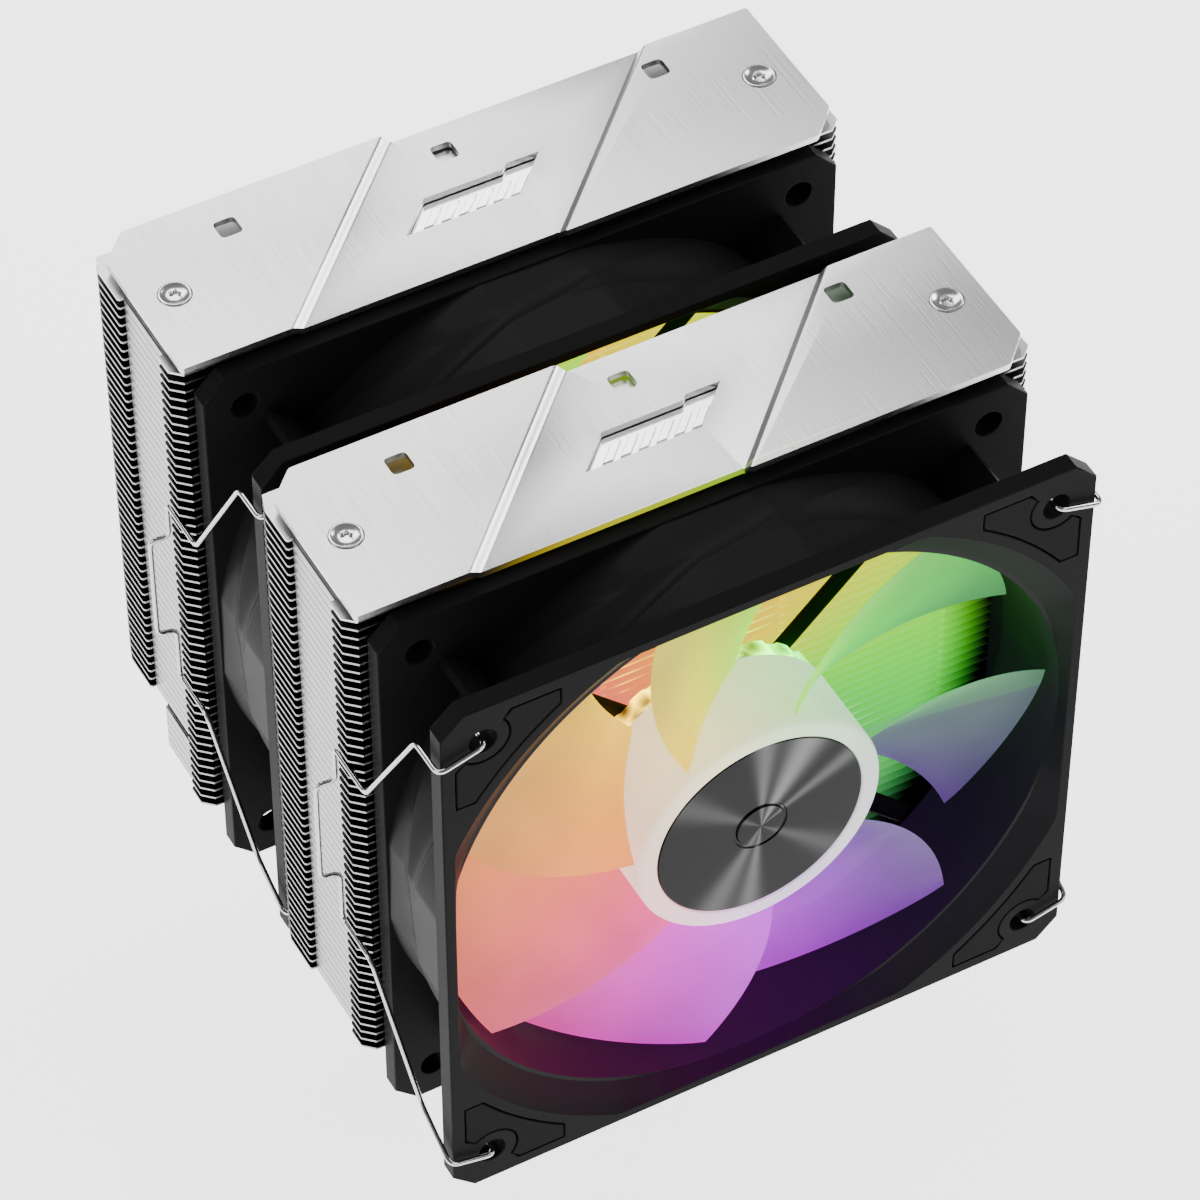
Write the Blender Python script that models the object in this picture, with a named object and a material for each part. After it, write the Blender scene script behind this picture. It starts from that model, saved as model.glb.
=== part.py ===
"""Dual-tower processor cooler with two clipped 120 mm fans, in metres, +Z up.

The origin is the centre of the cold plate's lower face. Air is drawn in at the front (-Y), so
the order along +Y is front fan, front tower, middle fan, rear tower. Each fan is modelled lying
on its back, with its axis along the local +Z from the outlet face to the intake face, and its
parent empty stands it up.
"""

import math

import bpy
from mathutils import Matrix, Vector
from mathutils.geometry import tessellate_polygon

MM = 0.001
GAP = 0.3 * MM  # clearance between pieces that touch or nearly touch

# Towers: two fin stacks, one in front of the base and one behind it
TOWER_PITCH = 62.3 * MM
TOWERS = {"front": -TOWER_PITCH / 2, "rear": TOWER_PITCH / 2}
FIN_THICKNESS = 0.8 * MM  # each stands for two thin fins with the same weight
FIN_PITCH = 3.84 * MM
FIN_COUNT = 29
FIN_BOTTOM = 46.0 * MM
FIN_FRONT = -15.1 * MM  # from the tower's centre
FIN_BACK = 16.8 * MM
FIN_EDGE_X = 63.3 * MM  # open fin edges
WALL_X = 62.2 * MM  # closed wall of folded fin edges
WALL_THICKNESS = 0.8 * MM
WALL_FRONT = -9.2 * MM
WALL_BACK = 5.8 * MM
SHORT_FIN_BACK = 2.3 * MM  # rear tower: its lowest fins end here
SHORT_FIN_COUNT = 3

# Top covers
COVER_TOP = 157.1 * MM
COVER_THICKNESS = 1.2 * MM
COVER_DROP = 1.07 * MM  # the middle zone lies lower than both ends
COVER_Y_SHORT = 16.4 * MM
COVER_Y_LONG = 17.7 * MM
COVER_CHAMFER = 5.3 * MM
FOLD_LEFT = (-26.0 * MM, -23.2 * MM)  # x - y of the left fold's two edges
FOLD_RIGHT = (24.2 * MM, 26.0 * MM)
COVER_SLOTS_X = (-40.8 * MM, 0.0, 40.8 * MM)
COVER_SLOT_Y = 10.1 * MM
COVER_SLOT = 3.6 * MM
COVER_SCREW_X = 55.5 * MM
COVER_SCREW_R = 2.9 * MM
BADGE_DEPTH = 0.6 * MM

# Base and heat pipes
PLATE_SIZE = (50 * MM, 38 * MM, 2.5 * MM)
BLOCK_SIZE = (50 * MM, 32 * MM)
BLOCK_TOP = 13.0 * MM
PIPE_R = 3.0 * MM
PIPE_Z = 6.1 * MM
PIPE_BASE_PITCH = 7.2 * MM
PIPE_TOWER_PITCH = 17.0 * MM
PIPE_ROW = 6.0 * MM  # each leg's distance from its tower's centre
PIPE_TURN_Y = 25.5 * MM
PIPE_STRAIGHT_Z = 40.0 * MM
PIPE_TOP = 153.2 * MM
PIPE_BEND_R = 9.0 * MM

# Mounting bar with its captive spring screws
BAR_SIZE = (96 * MM, 14 * MM, 2.0 * MM)
BAR_BOTTOM = BLOCK_TOP + GAP
BAR_TOP = BAR_BOTTOM + BAR_SIZE[2]
SPRING_SCREW_X = 41.0 * MM
SPRING_SCREW_R = 2.0 * MM
SPRING_SCREW_TIP = 4.0 * MM
SPRING_SCREW_HEAD = (27.0 * MM, 31.0 * MM)
SPRING_R = 3.3 * MM
SPRING_WIRE_R = 0.45 * MM
SPRING_TURNS = 4
BAR_SCREW_X = 14.4 * MM
BAR_SCREW_R = 1.5 * MM

# Fans
FAN_SIZE = 120 * MM
FAN_DEPTH = 25 * MM
FAN_Z = 94.0 * MM
FAN_OUTLETS = {"front": -46.55 * MM, "rear": 15.75 * MM}  # y of each fan's outlet face
FAN_CORNER = 4.1 * MM
FAN_HOLE_PITCH = 105 * MM
FAN_HOLE_R = 2.5 * MM
FLANGE = 3.7 * MM
BORE_R = 58.5 * MM
BARREL_R = 60.6 * MM
BARREL_FLAT = 59.9 * MM
MOUTH_R = 64.3 * MM
MOUTH_FLAT = 58.0 * MM
PAD_DEPTH = 1.2 * MM
PAD_INNER_R = 66.6 * MM
PAD_EDGE = 57.3 * MM
PAD_REACH = 38.8 * MM
PAD_BOSS_R = 5.0 * MM
MOTOR_R = 20.0 * MM
MOTOR_FLOOR = 2.0 * MM
HUB_R = 23.2 * MM
HUB_WALL = 2.0 * MM
HUB_BACK = 6.0 * MM
HUB_FRONT = 22.6 * MM
CAP_R = 19.5 * MM
CAP_THICKNESS = 0.9 * MM
SHAFT_R = 1.5 * MM
# One of the stator's four poles, as (angle in degrees, radius in mm) along its outline
STATOR_SHOE = ((-38, 14.5), (-13, 15.2), (13, 15.2), (38, 14.5), (36, 12.0))
STATOR_NECK = ((30, 8.0), (45, 6.5), (60, 8.0), (54, 12.0))
BLADE_COUNT = 7
BLADE_TIP_R = 57.2 * MM
BLADE_THICKNESS = 1.3 * MM
BLADE_BACK = 6.5 * MM
BLADE_FRONT = 21.0 * MM

# Wire clips
CLIP_WIRE_R = 0.6 * MM
CLIP_HOOK = 2.6 * MM  # how far each hook reaches into the fan's corner hole
CLIP_UPPER_Z = 118.0 * MM
CLIP_LOWER_Z = 74.7 * MM
CLIP_REST_Y = 7.8 * MM  # the grip lies this far in front of the tower's centre
GRIP_Z = (86.5 * MM, 110.0 * MM)
GRIP_REACH = 3.4 * MM


def clear_scene():
    """Removes everything from the scene."""
    for thing in list(bpy.data.objects):
        bpy.data.objects.remove(thing)


def material(name, colour, metallic, roughness, alpha=1.0):
    """A Principled material of one colour."""
    made = bpy.data.materials.new(name)
    made.use_nodes = True
    shader = made.node_tree.nodes["Principled BSDF"]
    shader.inputs["Base Color"].default_value = (*colour, 1.0)
    shader.inputs["Metallic"].default_value = metallic
    shader.inputs["Roughness"].default_value = roughness
    shader.inputs["Alpha"].default_value = alpha
    return made


def add_object(name, data, look, location=(0, 0, 0), parent=None):
    """Links a new object that holds the mesh or curve data."""
    thing = bpy.data.objects.new(name, data)
    thing.location = location
    thing.parent = parent
    data.materials.append(look)
    bpy.context.scene.collection.objects.link(thing)
    return thing


def add_cutter(name, data, parent=None):
    """Links a helper that shapes another object and isn't a piece itself."""
    thing = bpy.data.objects.new(name, data)
    thing.parent = parent
    thing.hide_render = True
    thing.display_type = "WIRE"
    bpy.context.scene.collection.objects.link(thing)
    return thing


def boolean(target, operation, helper):
    """Adds an exact Boolean to the target."""
    modifier = target.modifiers.new(helper.name, "BOOLEAN")
    modifier.operation = operation
    modifier.solver = "EXACT"
    modifier.object = helper


def signed_area(loop):
    """Twice the area of a flat loop, positive when it runs anticlockwise."""
    return sum(a[0] * b[1] - b[0] * a[1] for a, b in zip(loop, loop[1:] + loop[:1]))


def slab_faces(loops, low, high):
    """The faces of a flat region raised from low to high.

    The first loop is the outline and the rest are holes. low and high are numbers, or functions
    of x and y.
    """
    flat = []
    for loop in loops:
        wrong_way = (signed_area(loop) > 0) == bool(flat)
        flat.append(loop[::-1] if wrong_way else loop)
    bottom = low if callable(low) else lambda x, y: low
    top = high if callable(high) else lambda x, y: high
    points = [point for loop in flat for point in loop]
    below = [(x, y, bottom(x, y)) for x, y in points]
    above = [(x, y, top(x, y)) for x, y in points]
    faces = []
    triangles = tessellate_polygon([[Vector((x, y, 0)) for x, y in loop] for loop in flat])
    if sum(signed_area([points[k] for k in triangle]) for triangle in triangles) < 0:
        triangles = [triangle[::-1] for triangle in triangles]
    for a, b, c in triangles:
        faces.append((above[a], above[b], above[c]))
        faces.append((below[a], below[c], below[b]))
    first = 0
    for loop in flat:
        for k in range(len(loop)):
            a = first + k
            b = first + (k + 1) % len(loop)
            faces.append((below[a], below[b], above[b], above[a]))
        first += len(loop)
    return faces


def mesh_of(name, faces):
    """A mesh of faces given by their corner points. A face that two slabs share is left out."""
    kept = {}
    for face in faces:
        corners = tuple(tuple(round(v, 7) for v in corner) for corner in face)
        key = frozenset(corners)
        if key in kept:
            del kept[key]
        else:
            kept[key] = corners
    index = {}
    polygons = [[index.setdefault(corner, len(index)) for corner in face] for face in kept.values()]
    mesh = bpy.data.meshes.new(name)
    mesh.from_pydata(list(index), [], polygons)
    return mesh


def slab(name, loops, low, high):
    """One slab as a mesh."""
    return mesh_of(name, slab_faces(loops, low, high))


def lofted(name, sections):
    """A closed skin through (loop, height) sections, listed from the lowest to the highest."""
    rings = [[(x, y, z) for x, y in loop] for loop, z in sections]
    count = len(rings[0])
    faces = [tuple(reversed(rings[0])), tuple(rings[-1])]
    for lower, upper in zip(rings, rings[1:]):
        for k in range(count):
            j = (k + 1) % count
            faces.append((lower[k], lower[j], upper[j], upper[k]))
    return mesh_of(name, faces)


def turned(name, profile, steps):
    """A solid of revolution about Z. The profile of (radius, z) points runs anticlockwise."""
    turns = [2 * math.pi * k / steps for k in range(steps)]
    rings = [[(r * math.cos(t), r * math.sin(t), z) for t in turns] for r, z in profile]
    faces = []
    for lower, upper in zip(rings, rings[1:] + rings[:1]):
        for k in range(steps):
            j = (k + 1) % steps
            corners = dict.fromkeys((lower[k], lower[j], upper[j], upper[k]))
            if len(corners) > 2:
                faces.append(tuple(corners))
    mesh = mesh_of(name, faces)
    mesh.shade_smooth()
    mesh.set_sharp_from_angle(angle=math.radians(40))
    return mesh


def wire(name, points, radius, resolution):
    """A round bar along the points, with closed ends."""
    curve = bpy.data.curves.new(name, "CURVE")
    curve.dimensions = "3D"
    curve.bevel_depth = radius
    curve.bevel_resolution = resolution
    curve.use_fill_caps = True
    spline = curve.splines.new("POLY")
    spline.points.add(len(points) - 1)
    for target, point in zip(spline.points, points):
        target.co = (*point, 1)
        target.radius = 1
    return curve


def circle(radius, steps, centre=(0, 0), start=0.5):
    """A regular polygon; start turns it by that part of one step."""
    angles = [2 * math.pi * (k + start) / steps for k in range(steps)]
    return [(centre[0] + radius * math.cos(t), centre[1] + radius * math.sin(t)) for t in angles]


def chamfered_rectangle(half_x, half_y, cut):
    """A rectangle with its four corners cut off, anticlockwise."""
    corners = []
    for sx, sy in ((1, -1), (1, 1), (-1, 1), (-1, -1)):
        pair = [(sx * (half_x - cut), sy * half_y), (sx * half_x, sy * (half_y - cut))]
        corners += pair if sx * sy < 0 else pair[::-1]
    return corners


def mirrored(loop):
    """The loop reflected in the Y axis, still running the same way round."""
    return [(-x, y) for x, y in reversed(loop)]


def rounded_route(corners, radius, steps):
    """The corners joined by straight runs, with an arc of the radius at each inner corner."""
    corners = [Vector(corner) for corner in corners]
    route = [corners[0]]
    for before, corner, after in zip(corners, corners[1:], corners[2:]):
        into = (before - corner).normalized()
        out = (after - corner).normalized()
        half = into.angle(out) / 2
        reach = min(radius / math.tan(half), 0.45 * min((before - corner).length, (after - corner).length))
        bend = reach * math.tan(half)
        middle = corner + (into + out).normalized() * (bend / math.sin(half))
        start = corner + into * reach - middle
        turn = Matrix.Rotation(math.pi - 2 * half, 3, start.cross(corner + out * reach - middle))
        for k in range(steps + 1):
            part = Matrix.Identity(3).to_quaternion().slerp(turn.to_quaternion(), k / steps)
            route.append(middle + part @ start)
    route.append(corners[-1])
    return route


# Base


def pipe_base_x(i):
    """Where heat pipe i lies in the base."""
    return (i - 2.5) * PIPE_BASE_PITCH


def pipe_leg(i, tower):
    """(x, y) of heat pipe i where it stands in a tower, from the cooler's centre."""
    outer_row = i not in (1, 4)
    side = math.copysign(1, TOWERS[tower])
    return (i - 2.5) * PIPE_TOWER_PITCH, TOWERS[tower] + side * (PIPE_ROW if outer_row else -PIPE_ROW)


def cold_plate():
    outline = chamfered_rectangle(PLATE_SIZE[0] / 2, PLATE_SIZE[1] / 2, 2 * MM)
    look = material("nickel_plated_copper", (0.78, 0.76, 0.72), 1.0, 0.18)
    add_object("cold_plate", slab("cold_plate", [outline], 0, PLATE_SIZE[2]), look)


def base_block():
    """A block whose underside is grooved for the heat pipes; it stands on the cold plate."""
    bottom = PLATE_SIZE[2] + GAP
    half = PIPE_R + GAP
    flat = half * math.tan(math.pi / 8)
    outline = [(-BLOCK_SIZE[0] / 2, BLOCK_TOP), (-BLOCK_SIZE[0] / 2, bottom)]
    for i in range(6):
        x = pipe_base_x(i)
        outline += [(x - half, bottom), (x - half, PIPE_Z + flat), (x - flat, PIPE_Z + half)]
        outline += [(x + flat, PIPE_Z + half), (x + half, PIPE_Z + flat), (x + half, bottom)]
    outline += [(BLOCK_SIZE[0] / 2, bottom), (BLOCK_SIZE[0] / 2, BLOCK_TOP)]
    look = material("base_aluminium", (0.72, 0.73, 0.74), 1.0, 0.35)
    mesh = slab("base_block", [outline], -BLOCK_SIZE[1] / 2, BLOCK_SIZE[1] / 2)
    block = add_object("base_block", mesh, look)
    block.rotation_euler.x = math.pi / 2
    loops = [circle(BAR_SCREW_R + GAP, 10, (x, 0)) for x in (-BAR_SCREW_X, BAR_SCREW_X)]
    faces = [face for loop in loops for face in slab_faces([loop], BLOCK_TOP - 3 * MM, BLOCK_TOP + MM)]
    boolean(block, "DIFFERENCE", add_cutter("bar_screw_holes", mesh_of("bar_screw_holes", faces)))


def heat_pipes():
    look = material("nickel_pipe", (0.80, 0.79, 0.76), 1.0, 0.22)
    for i in range(6):
        front = pipe_leg(i, "front")
        rear = pipe_leg(i, "rear")
        x = pipe_base_x(i)
        corners = [
            (*front, PIPE_TOP),
            (*front, PIPE_STRAIGHT_Z),
            (x, -PIPE_TURN_Y, PIPE_Z),
            (x, PIPE_TURN_Y, PIPE_Z),
            (*rear, PIPE_STRAIGHT_Z),
            (*rear, PIPE_TOP),
        ]
        route = rounded_route(corners, PIPE_BEND_R, 3)
        name = f"heat_pipe_{i + 1}"
        add_object(name, wire(name, route, PIPE_R, 2), look)


# Fin stacks


def fin_outline(back):
    """One fin's outline between the side walls, from the tower's centre."""
    inner = WALL_X - WALL_THICKNESS
    wall_back = min(WALL_BACK, back)
    right = [(FIN_EDGE_X - 2.0 * MM, FIN_FRONT), (FIN_EDGE_X, FIN_FRONT + 1.9 * MM)]
    right += [(FIN_EDGE_X, WALL_FRONT), (WALL_X, WALL_FRONT), (inner, WALL_FRONT), (inner, SHORT_FIN_BACK)]
    if back > WALL_BACK:
        right += [(inner, wall_back), (WALL_X, wall_back), (FIN_EDGE_X, wall_back)]
        right += [(FIN_EDGE_X, back - 3.2 * MM), (FIN_EDGE_X - 1.1 * MM, back)]
    return right + mirrored(right)


def wall_cells(back):
    """The side walls in plan, split where the shortened fins end."""
    inner = WALL_X - WALL_THICKNESS
    stretches = [(WALL_FRONT, SHORT_FIN_BACK), (SHORT_FIN_BACK, WALL_BACK)]
    cells = []
    for low, high in stretches:
        if high <= back:
            cell = [(inner, low), (WALL_X, low), (WALL_X, high), (inner, high)]
            cells += [cell, mirrored(cell)]
    return cells


def fin_stack(tower):
    """Fins joined at both sides by a wall of folded edges, with a hole for each heat pipe."""
    centre = TOWERS[tower]
    hole_r = (PIPE_R + GAP) / math.cos(math.pi / 4)
    faces = []
    for k in range(FIN_COUNT):
        low = FIN_BOTTOM + k * FIN_PITCH
        high = low + FIN_THICKNESS
        short = tower == "rear" and k < SHORT_FIN_COUNT
        back = SHORT_FIN_BACK if short else FIN_BACK
        legs = [pipe_leg(i, tower) for i in range(6)]
        holes = [circle(hole_r, 4, (x, y - centre)) for x, y in legs if y - centre < back]
        faces += slab_faces([fin_outline(back), *holes], low, high)
        for cell in wall_cells(back):
            faces += slab_faces([cell], low, high)
            if k < FIN_COUNT - 1:
                faces += slab_faces([cell], high, low + FIN_PITCH)
    look = material(f"fin_aluminium_{tower}", (0.74, 0.75, 0.76), 1.0, 0.32)
    name = f"fin_stack_{tower}"
    add_object(name, mesh_of(name, faces), look, (0, centre, 0))


# Top covers


def cover_height(x, y):
    """The cover's upper surface: level ends, and a lower middle between two slanting folds."""
    across = x - y
    if across <= 0:
        slope = (across - FOLD_LEFT[0]) / (FOLD_LEFT[1] - FOLD_LEFT[0])
    else:
        slope = (FOLD_RIGHT[1] - across) / (FOLD_RIGHT[1] - FOLD_RIGHT[0])
    return COVER_TOP - COVER_DROP * min(max(slope, 0), 1)


def window_outline(shrink):
    """The badge window: a slanted opening whose back edge has one step."""
    front, step, back = -5.1 * MM + shrink, 1.6 * MM - shrink, 2.6 * MM - shrink
    left, right = -10.1 * MM + 1.4 * shrink, 11.5 * MM - 1.4 * shrink
    return [(left + front, front), (right + front, front), (right + back, back),
            (5.0 * MM + back + shrink, back), (5.0 * MM + step + shrink, step), (left + step, step)]


def slot_outline(x, y):
    """A small square hole with its corners cut."""
    return [(x + u, y + v) for u, v in chamfered_rectangle(COVER_SLOT / 2, COVER_SLOT / 2, 0.8 * MM)]


def top_cover(tower):
    """A folded sheet over one tower, in five zones: end, fold, middle, fold, end."""
    x, short, long, cut = WALL_X, COVER_Y_SHORT, COVER_Y_LONG, COVER_CHAMFER
    left_slot, middle_slot, right_slot = [slot_outline(u, COVER_SLOT_Y) for u in COVER_SLOTS_X]
    screws = [circle(COVER_SCREW_R + GAP, 12, (u, 0)) for u in (-COVER_SCREW_X, COVER_SCREW_X)]
    l0, l1 = FOLD_LEFT
    r0, r1 = FOLD_RIGHT
    seams = [
        ((l0 - short, -short), (l0 + long, long)),
        ((l1 - short, -short), (l1 + short, short)),
        ((r0 - short, -short), (r0 + short, short)),
        ((r1 - long, -long), (r1 + short, short)),
    ]
    left_end = [(-x, -short), *seams[0], (cut - x, long), (-x, long - cut)]
    right_end = [seams[3][0], (x - cut, -long), (x, cut - long), (x, short), seams[3][1]]
    zones = [
        [left_end, left_slot, screws[0]],
        [[seams[0][0], seams[1][0], seams[1][1], seams[0][1]]],
        [[seams[1][0], seams[2][0], seams[2][1], seams[1][1]], middle_slot, window_outline(0)],
        [[seams[2][0], seams[3][0], seams[3][1], seams[2][1]]],
        [right_end, right_slot, screws[1]],
    ]
    faces = []
    for loops in zones:
        faces += slab_faces(loops, lambda u, v: cover_height(u, v) - COVER_THICKNESS, cover_height)
    look = material(f"brushed_cover_{tower}", (0.80, 0.80, 0.80), 1.0, 0.3)
    add_object(f"top_cover_{tower}", mesh_of(f"top_cover_{tower}", faces), look, (0, TOWERS[tower], 0))


def badge_plate(tower):
    """A blank plate that fills the window below the cover's surface."""
    low = COVER_TOP - COVER_DROP - COVER_THICKNESS
    mesh = slab(f"badge_plate_{tower}", [window_outline(GAP)], low, low + BADGE_DEPTH)
    look = material(f"badge_aluminium_{tower}", (0.85, 0.85, 0.84), 1.0, 0.25)
    add_object(f"badge_plate_{tower}", mesh, look, (0, TOWERS[tower], 0))


def cover_screws(tower):
    """Two dished screws that hold the cover down on the fins."""
    rim = COVER_TOP + 0.25 * MM
    foot = COVER_TOP - COVER_THICKNESS - 0.6 * MM
    shank = 1.4 * MM
    dish = rim - 0.5 * MM
    profile = [(0, foot), (shank, foot), (shank, COVER_TOP - MM), (COVER_SCREW_R, COVER_TOP - 0.7 * MM)]
    profile += [(COVER_SCREW_R, rim - 0.2 * MM), (COVER_SCREW_R - 0.3 * MM, rim)]
    profile += [(1.6 * MM, dish), (0, dish)]
    look = material(f"screw_steel_{tower}", (0.75, 0.75, 0.75), 1.0, 0.2)
    for side, x in (("left", -COVER_SCREW_X), ("right", COVER_SCREW_X)):
        name = f"cover_screw_{tower}_{side}"
        add_object(name, turned(name, profile, 10), look, (x, TOWERS[tower], 0))


# Mounting bar


def mounting_bar():
    outline = chamfered_rectangle(BAR_SIZE[0] / 2, BAR_SIZE[1] / 2, 4 * MM)
    holes = [circle(SPRING_SCREW_R + GAP, 10, (x, 0)) for x in (-SPRING_SCREW_X, SPRING_SCREW_X)]
    holes += [circle(BAR_SCREW_R + GAP, 10, (x, 0)) for x in (-BAR_SCREW_X, BAR_SCREW_X)]
    look = material("bar_steel", (0.60, 0.61, 0.62), 1.0, 0.3)
    add_object("mounting_bar", slab("mounting_bar", [outline, *holes], BAR_BOTTOM, BAR_TOP), look)


def bar_screws():
    """Two short screws that fix the bar to the base block."""
    tip = BLOCK_TOP - 2.5 * MM
    head = BAR_TOP + GAP
    rim = 2.7 * MM
    top = head + 1.9 * MM
    profile = [(0, tip), (BAR_SCREW_R, tip), (BAR_SCREW_R, head), (rim, head), (rim, top - 0.5 * MM)]
    profile += [(rim - 0.5 * MM, top), (0, top)]
    look = material("bar_screw_steel", (0.35, 0.35, 0.36), 1.0, 0.3)
    for side, x in (("left", -BAR_SCREW_X), ("right", BAR_SCREW_X)):
        add_object(f"bar_screw_{side}", turned(f"bar_screw_{side}", profile, 10), look, (x, 0, 0))


def spring_screws():
    """Captive screws at the bar's ends, each with a spring under its head and a ring under the bar."""
    r = SPRING_SCREW_R
    low, high = SPRING_SCREW_HEAD
    profile = [(0, SPRING_SCREW_TIP), (1.2 * MM, SPRING_SCREW_TIP), (1.5 * MM, SPRING_SCREW_TIP + 0.5 * MM)]
    profile += [(1.5 * MM, 10 * MM), (r, 10 * MM), (r, low), (4 * MM, low), (4 * MM, high - 0.5 * MM)]
    profile += [(3.5 * MM, high), (1.3 * MM, high), (1.3 * MM, high - 2 * MM), (0, high - 2 * MM)]
    ring_top = BAR_BOTTOM - GAP
    ring = [(r + GAP, ring_top - 0.8 * MM), (3.6 * MM, ring_top - 0.8 * MM), (3.6 * MM, ring_top)]
    ring += [(r + GAP, ring_top)]
    foot = BAR_TOP + GAP + SPRING_WIRE_R
    rise = low - GAP - SPRING_WIRE_R - foot
    steps = 8 * SPRING_TURNS
    coil = []
    for k in range(steps + 1):
        turn = 2 * math.pi * SPRING_TURNS * k / steps
        coil.append((SPRING_R * math.cos(turn), SPRING_R * math.sin(turn), foot + rise * k / steps))
    screw_look = material("spring_screw_steel", (0.70, 0.70, 0.70), 1.0, 0.22)
    spring_look = material("spring_steel", (0.55, 0.56, 0.58), 1.0, 0.25)
    ring_look = material("ring_steel", (0.25, 0.25, 0.26), 1.0, 0.35)
    for side, x in (("left", -SPRING_SCREW_X), ("right", SPRING_SCREW_X)):
        place = (x, 0, 0)
        add_object(f"spring_screw_{side}", turned(f"spring_screw_{side}", profile, 10), screw_look, place)
        add_object(f"retaining_ring_{side}", turned(f"retaining_ring_{side}", ring, 10), ring_look, place)
        add_object(f"spring_{side}", wire(f"spring_{side}", coil, SPRING_WIRE_R, 0), spring_look, place)


# Fans


def squared_circle(radius, flat, steps=32):
    """A circle cut off by the square of half width flat."""
    loop = []
    for k in range(steps):
        t = 2 * math.pi * (k + 0.5) / steps
        r = min(radius, flat / max(abs(math.cos(t)), abs(math.sin(t))))
        loop.append((r * math.cos(t), r * math.sin(t)))
    return loop


def barrel_outline():
    """The barrel's outer outline, with a thin rib reaching into each corner."""
    loop = []
    for x, y in squared_circle(BARREL_R, BARREL_FLAT):
        t = math.degrees(math.atan2(y, x)) % 90
        loop.append((x, y))
        if 39 < t < 45:
            for turn, reach in ((-0.8, BARREL_R), (-0.7, 70 * MM), (0.7, 70 * MM), (0.8, BARREL_R)):
                a = math.atan2(y, x) + math.radians(45 - t + turn)
                loop.append((reach * math.cos(a), reach * math.sin(a)))
    return loop


def pad_outline(grow):
    """The corner pad of the first quadrant, symmetric about the diagonal."""
    edge, reach = PAD_EDGE + grow, PAD_REACH - grow
    inner, boss = PAD_INNER_R - grow, PAD_BOSS_R - grow
    hole = FAN_HOLE_PITCH / 2
    start = math.acos(reach / inner)
    angles = [math.pi / 2 - start + (2 * start - math.pi / 2) * k / 3 for k in range(4)]
    arc = [(inner * math.cos(t), inner * math.sin(t)) for t in angles]
    turns = [math.radians(139 + 172 * k / 4) for k in range(5)]
    around = [(hole + boss * math.cos(t), hole + boss * math.sin(t)) for t in turns]
    outer = [(reach, edge), (edge - 10.1 * MM, edge), *around, (edge, edge - 10.1 * MM), (edge, reach)]
    return arc + outer


def quarter_turned(loop, quarters):
    """The loop turned about the origin by a number of quarter turns."""
    for _ in range(quarters):
        loop = [(-y, x) for x, y in loop]
    return loop


def fan_frame(fan, parent):
    """Two square flanges joined by a round barrel, with the motor's floor on four struts."""
    hole = FAN_HOLE_PITCH / 2
    outline = chamfered_rectangle(FAN_SIZE / 2, FAN_SIZE / 2, FAN_CORNER)
    holes = [circle(FAN_HOLE_R, 8, (sx * hole, sy * hole)) for sx in (-1, 1) for sy in (-1, 1)]
    look = material(f"frame_plastic_{fan}", (0.035, 0.035, 0.037), 0.0, 0.5)
    name = f"fan_{fan}_frame"
    frame = add_object(name, slab(name, [outline, *holes], 0, FAN_DEPTH), look, parent=parent)
    bore = squared_circle(BORE_R, BORE_R)
    mouth = squared_circle(MOUTH_R, MOUTH_FLAT)
    sections = [(mouth, -MM), (mouth, 0), (bore, FLANGE), (bore, FAN_DEPTH - FLANGE), (mouth, FAN_DEPTH)]
    sections += [(mouth, FAN_DEPTH + MM)]
    boolean(frame, "DIFFERENCE", add_cutter(f"{name}_opening", lofted("opening", sections), parent))
    outside = chamfered_rectangle(65 * MM, 65 * MM, MM)
    channel = slab("channel", [outside, barrel_outline()], FLANGE, FAN_DEPTH - FLANGE)
    boolean(frame, "DIFFERENCE", add_cutter(f"{name}_channel", channel, parent))
    recesses = []
    for quarters in range(4):
        loop = quarter_turned(pad_outline(GAP), quarters)
        recesses += slab_faces([loop], FAN_DEPTH - PAD_DEPTH - GAP, FAN_DEPTH + MM)
    boolean(frame, "DIFFERENCE", add_cutter(f"{name}_recesses", mesh_of("recesses", recesses), parent))
    spider = add_cutter(f"{name}_spider", motor_spider(), parent)
    boolean(frame, "UNION", spider)


def motor_spider():
    """The motor's floor and its four struts, which end inside the outlet flange."""
    loop = []
    half = 2 * MM
    for quarters in range(4):
        corner = math.asin(half / MOTOR_R)
        arm = [(MOUTH_R + MM, -half), (MOUTH_R + MM, half)]
        for k in range(5):
            t = corner + (math.pi / 2 - 2 * corner) * k / 4
            arm.append((MOTOR_R * math.cos(t), MOTOR_R * math.sin(t)))
        loop += quarter_turned(arm, quarters)
    half_root = math.sqrt(0.5)
    diagonal = [((x - y) * half_root, (x + y) * half_root) for x, y in loop]
    return slab("motor_spider", [diagonal], 0.5 * MM, MOTOR_FLOOR)


def corner_pads(fan, parent):
    look = material(f"pad_rubber_{fan}", (0.03, 0.03, 0.032), 0.0, 0.7)
    names = ("upper_right", "upper_left", "lower_left", "lower_right")
    for quarters, corner in enumerate(names):
        loop = quarter_turned(pad_outline(0), quarters)
        name = f"fan_{fan}_pad_{corner}"
        add_object(name, slab(name, [loop], FAN_DEPTH - PAD_DEPTH, FAN_DEPTH), look, parent=parent)


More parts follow.
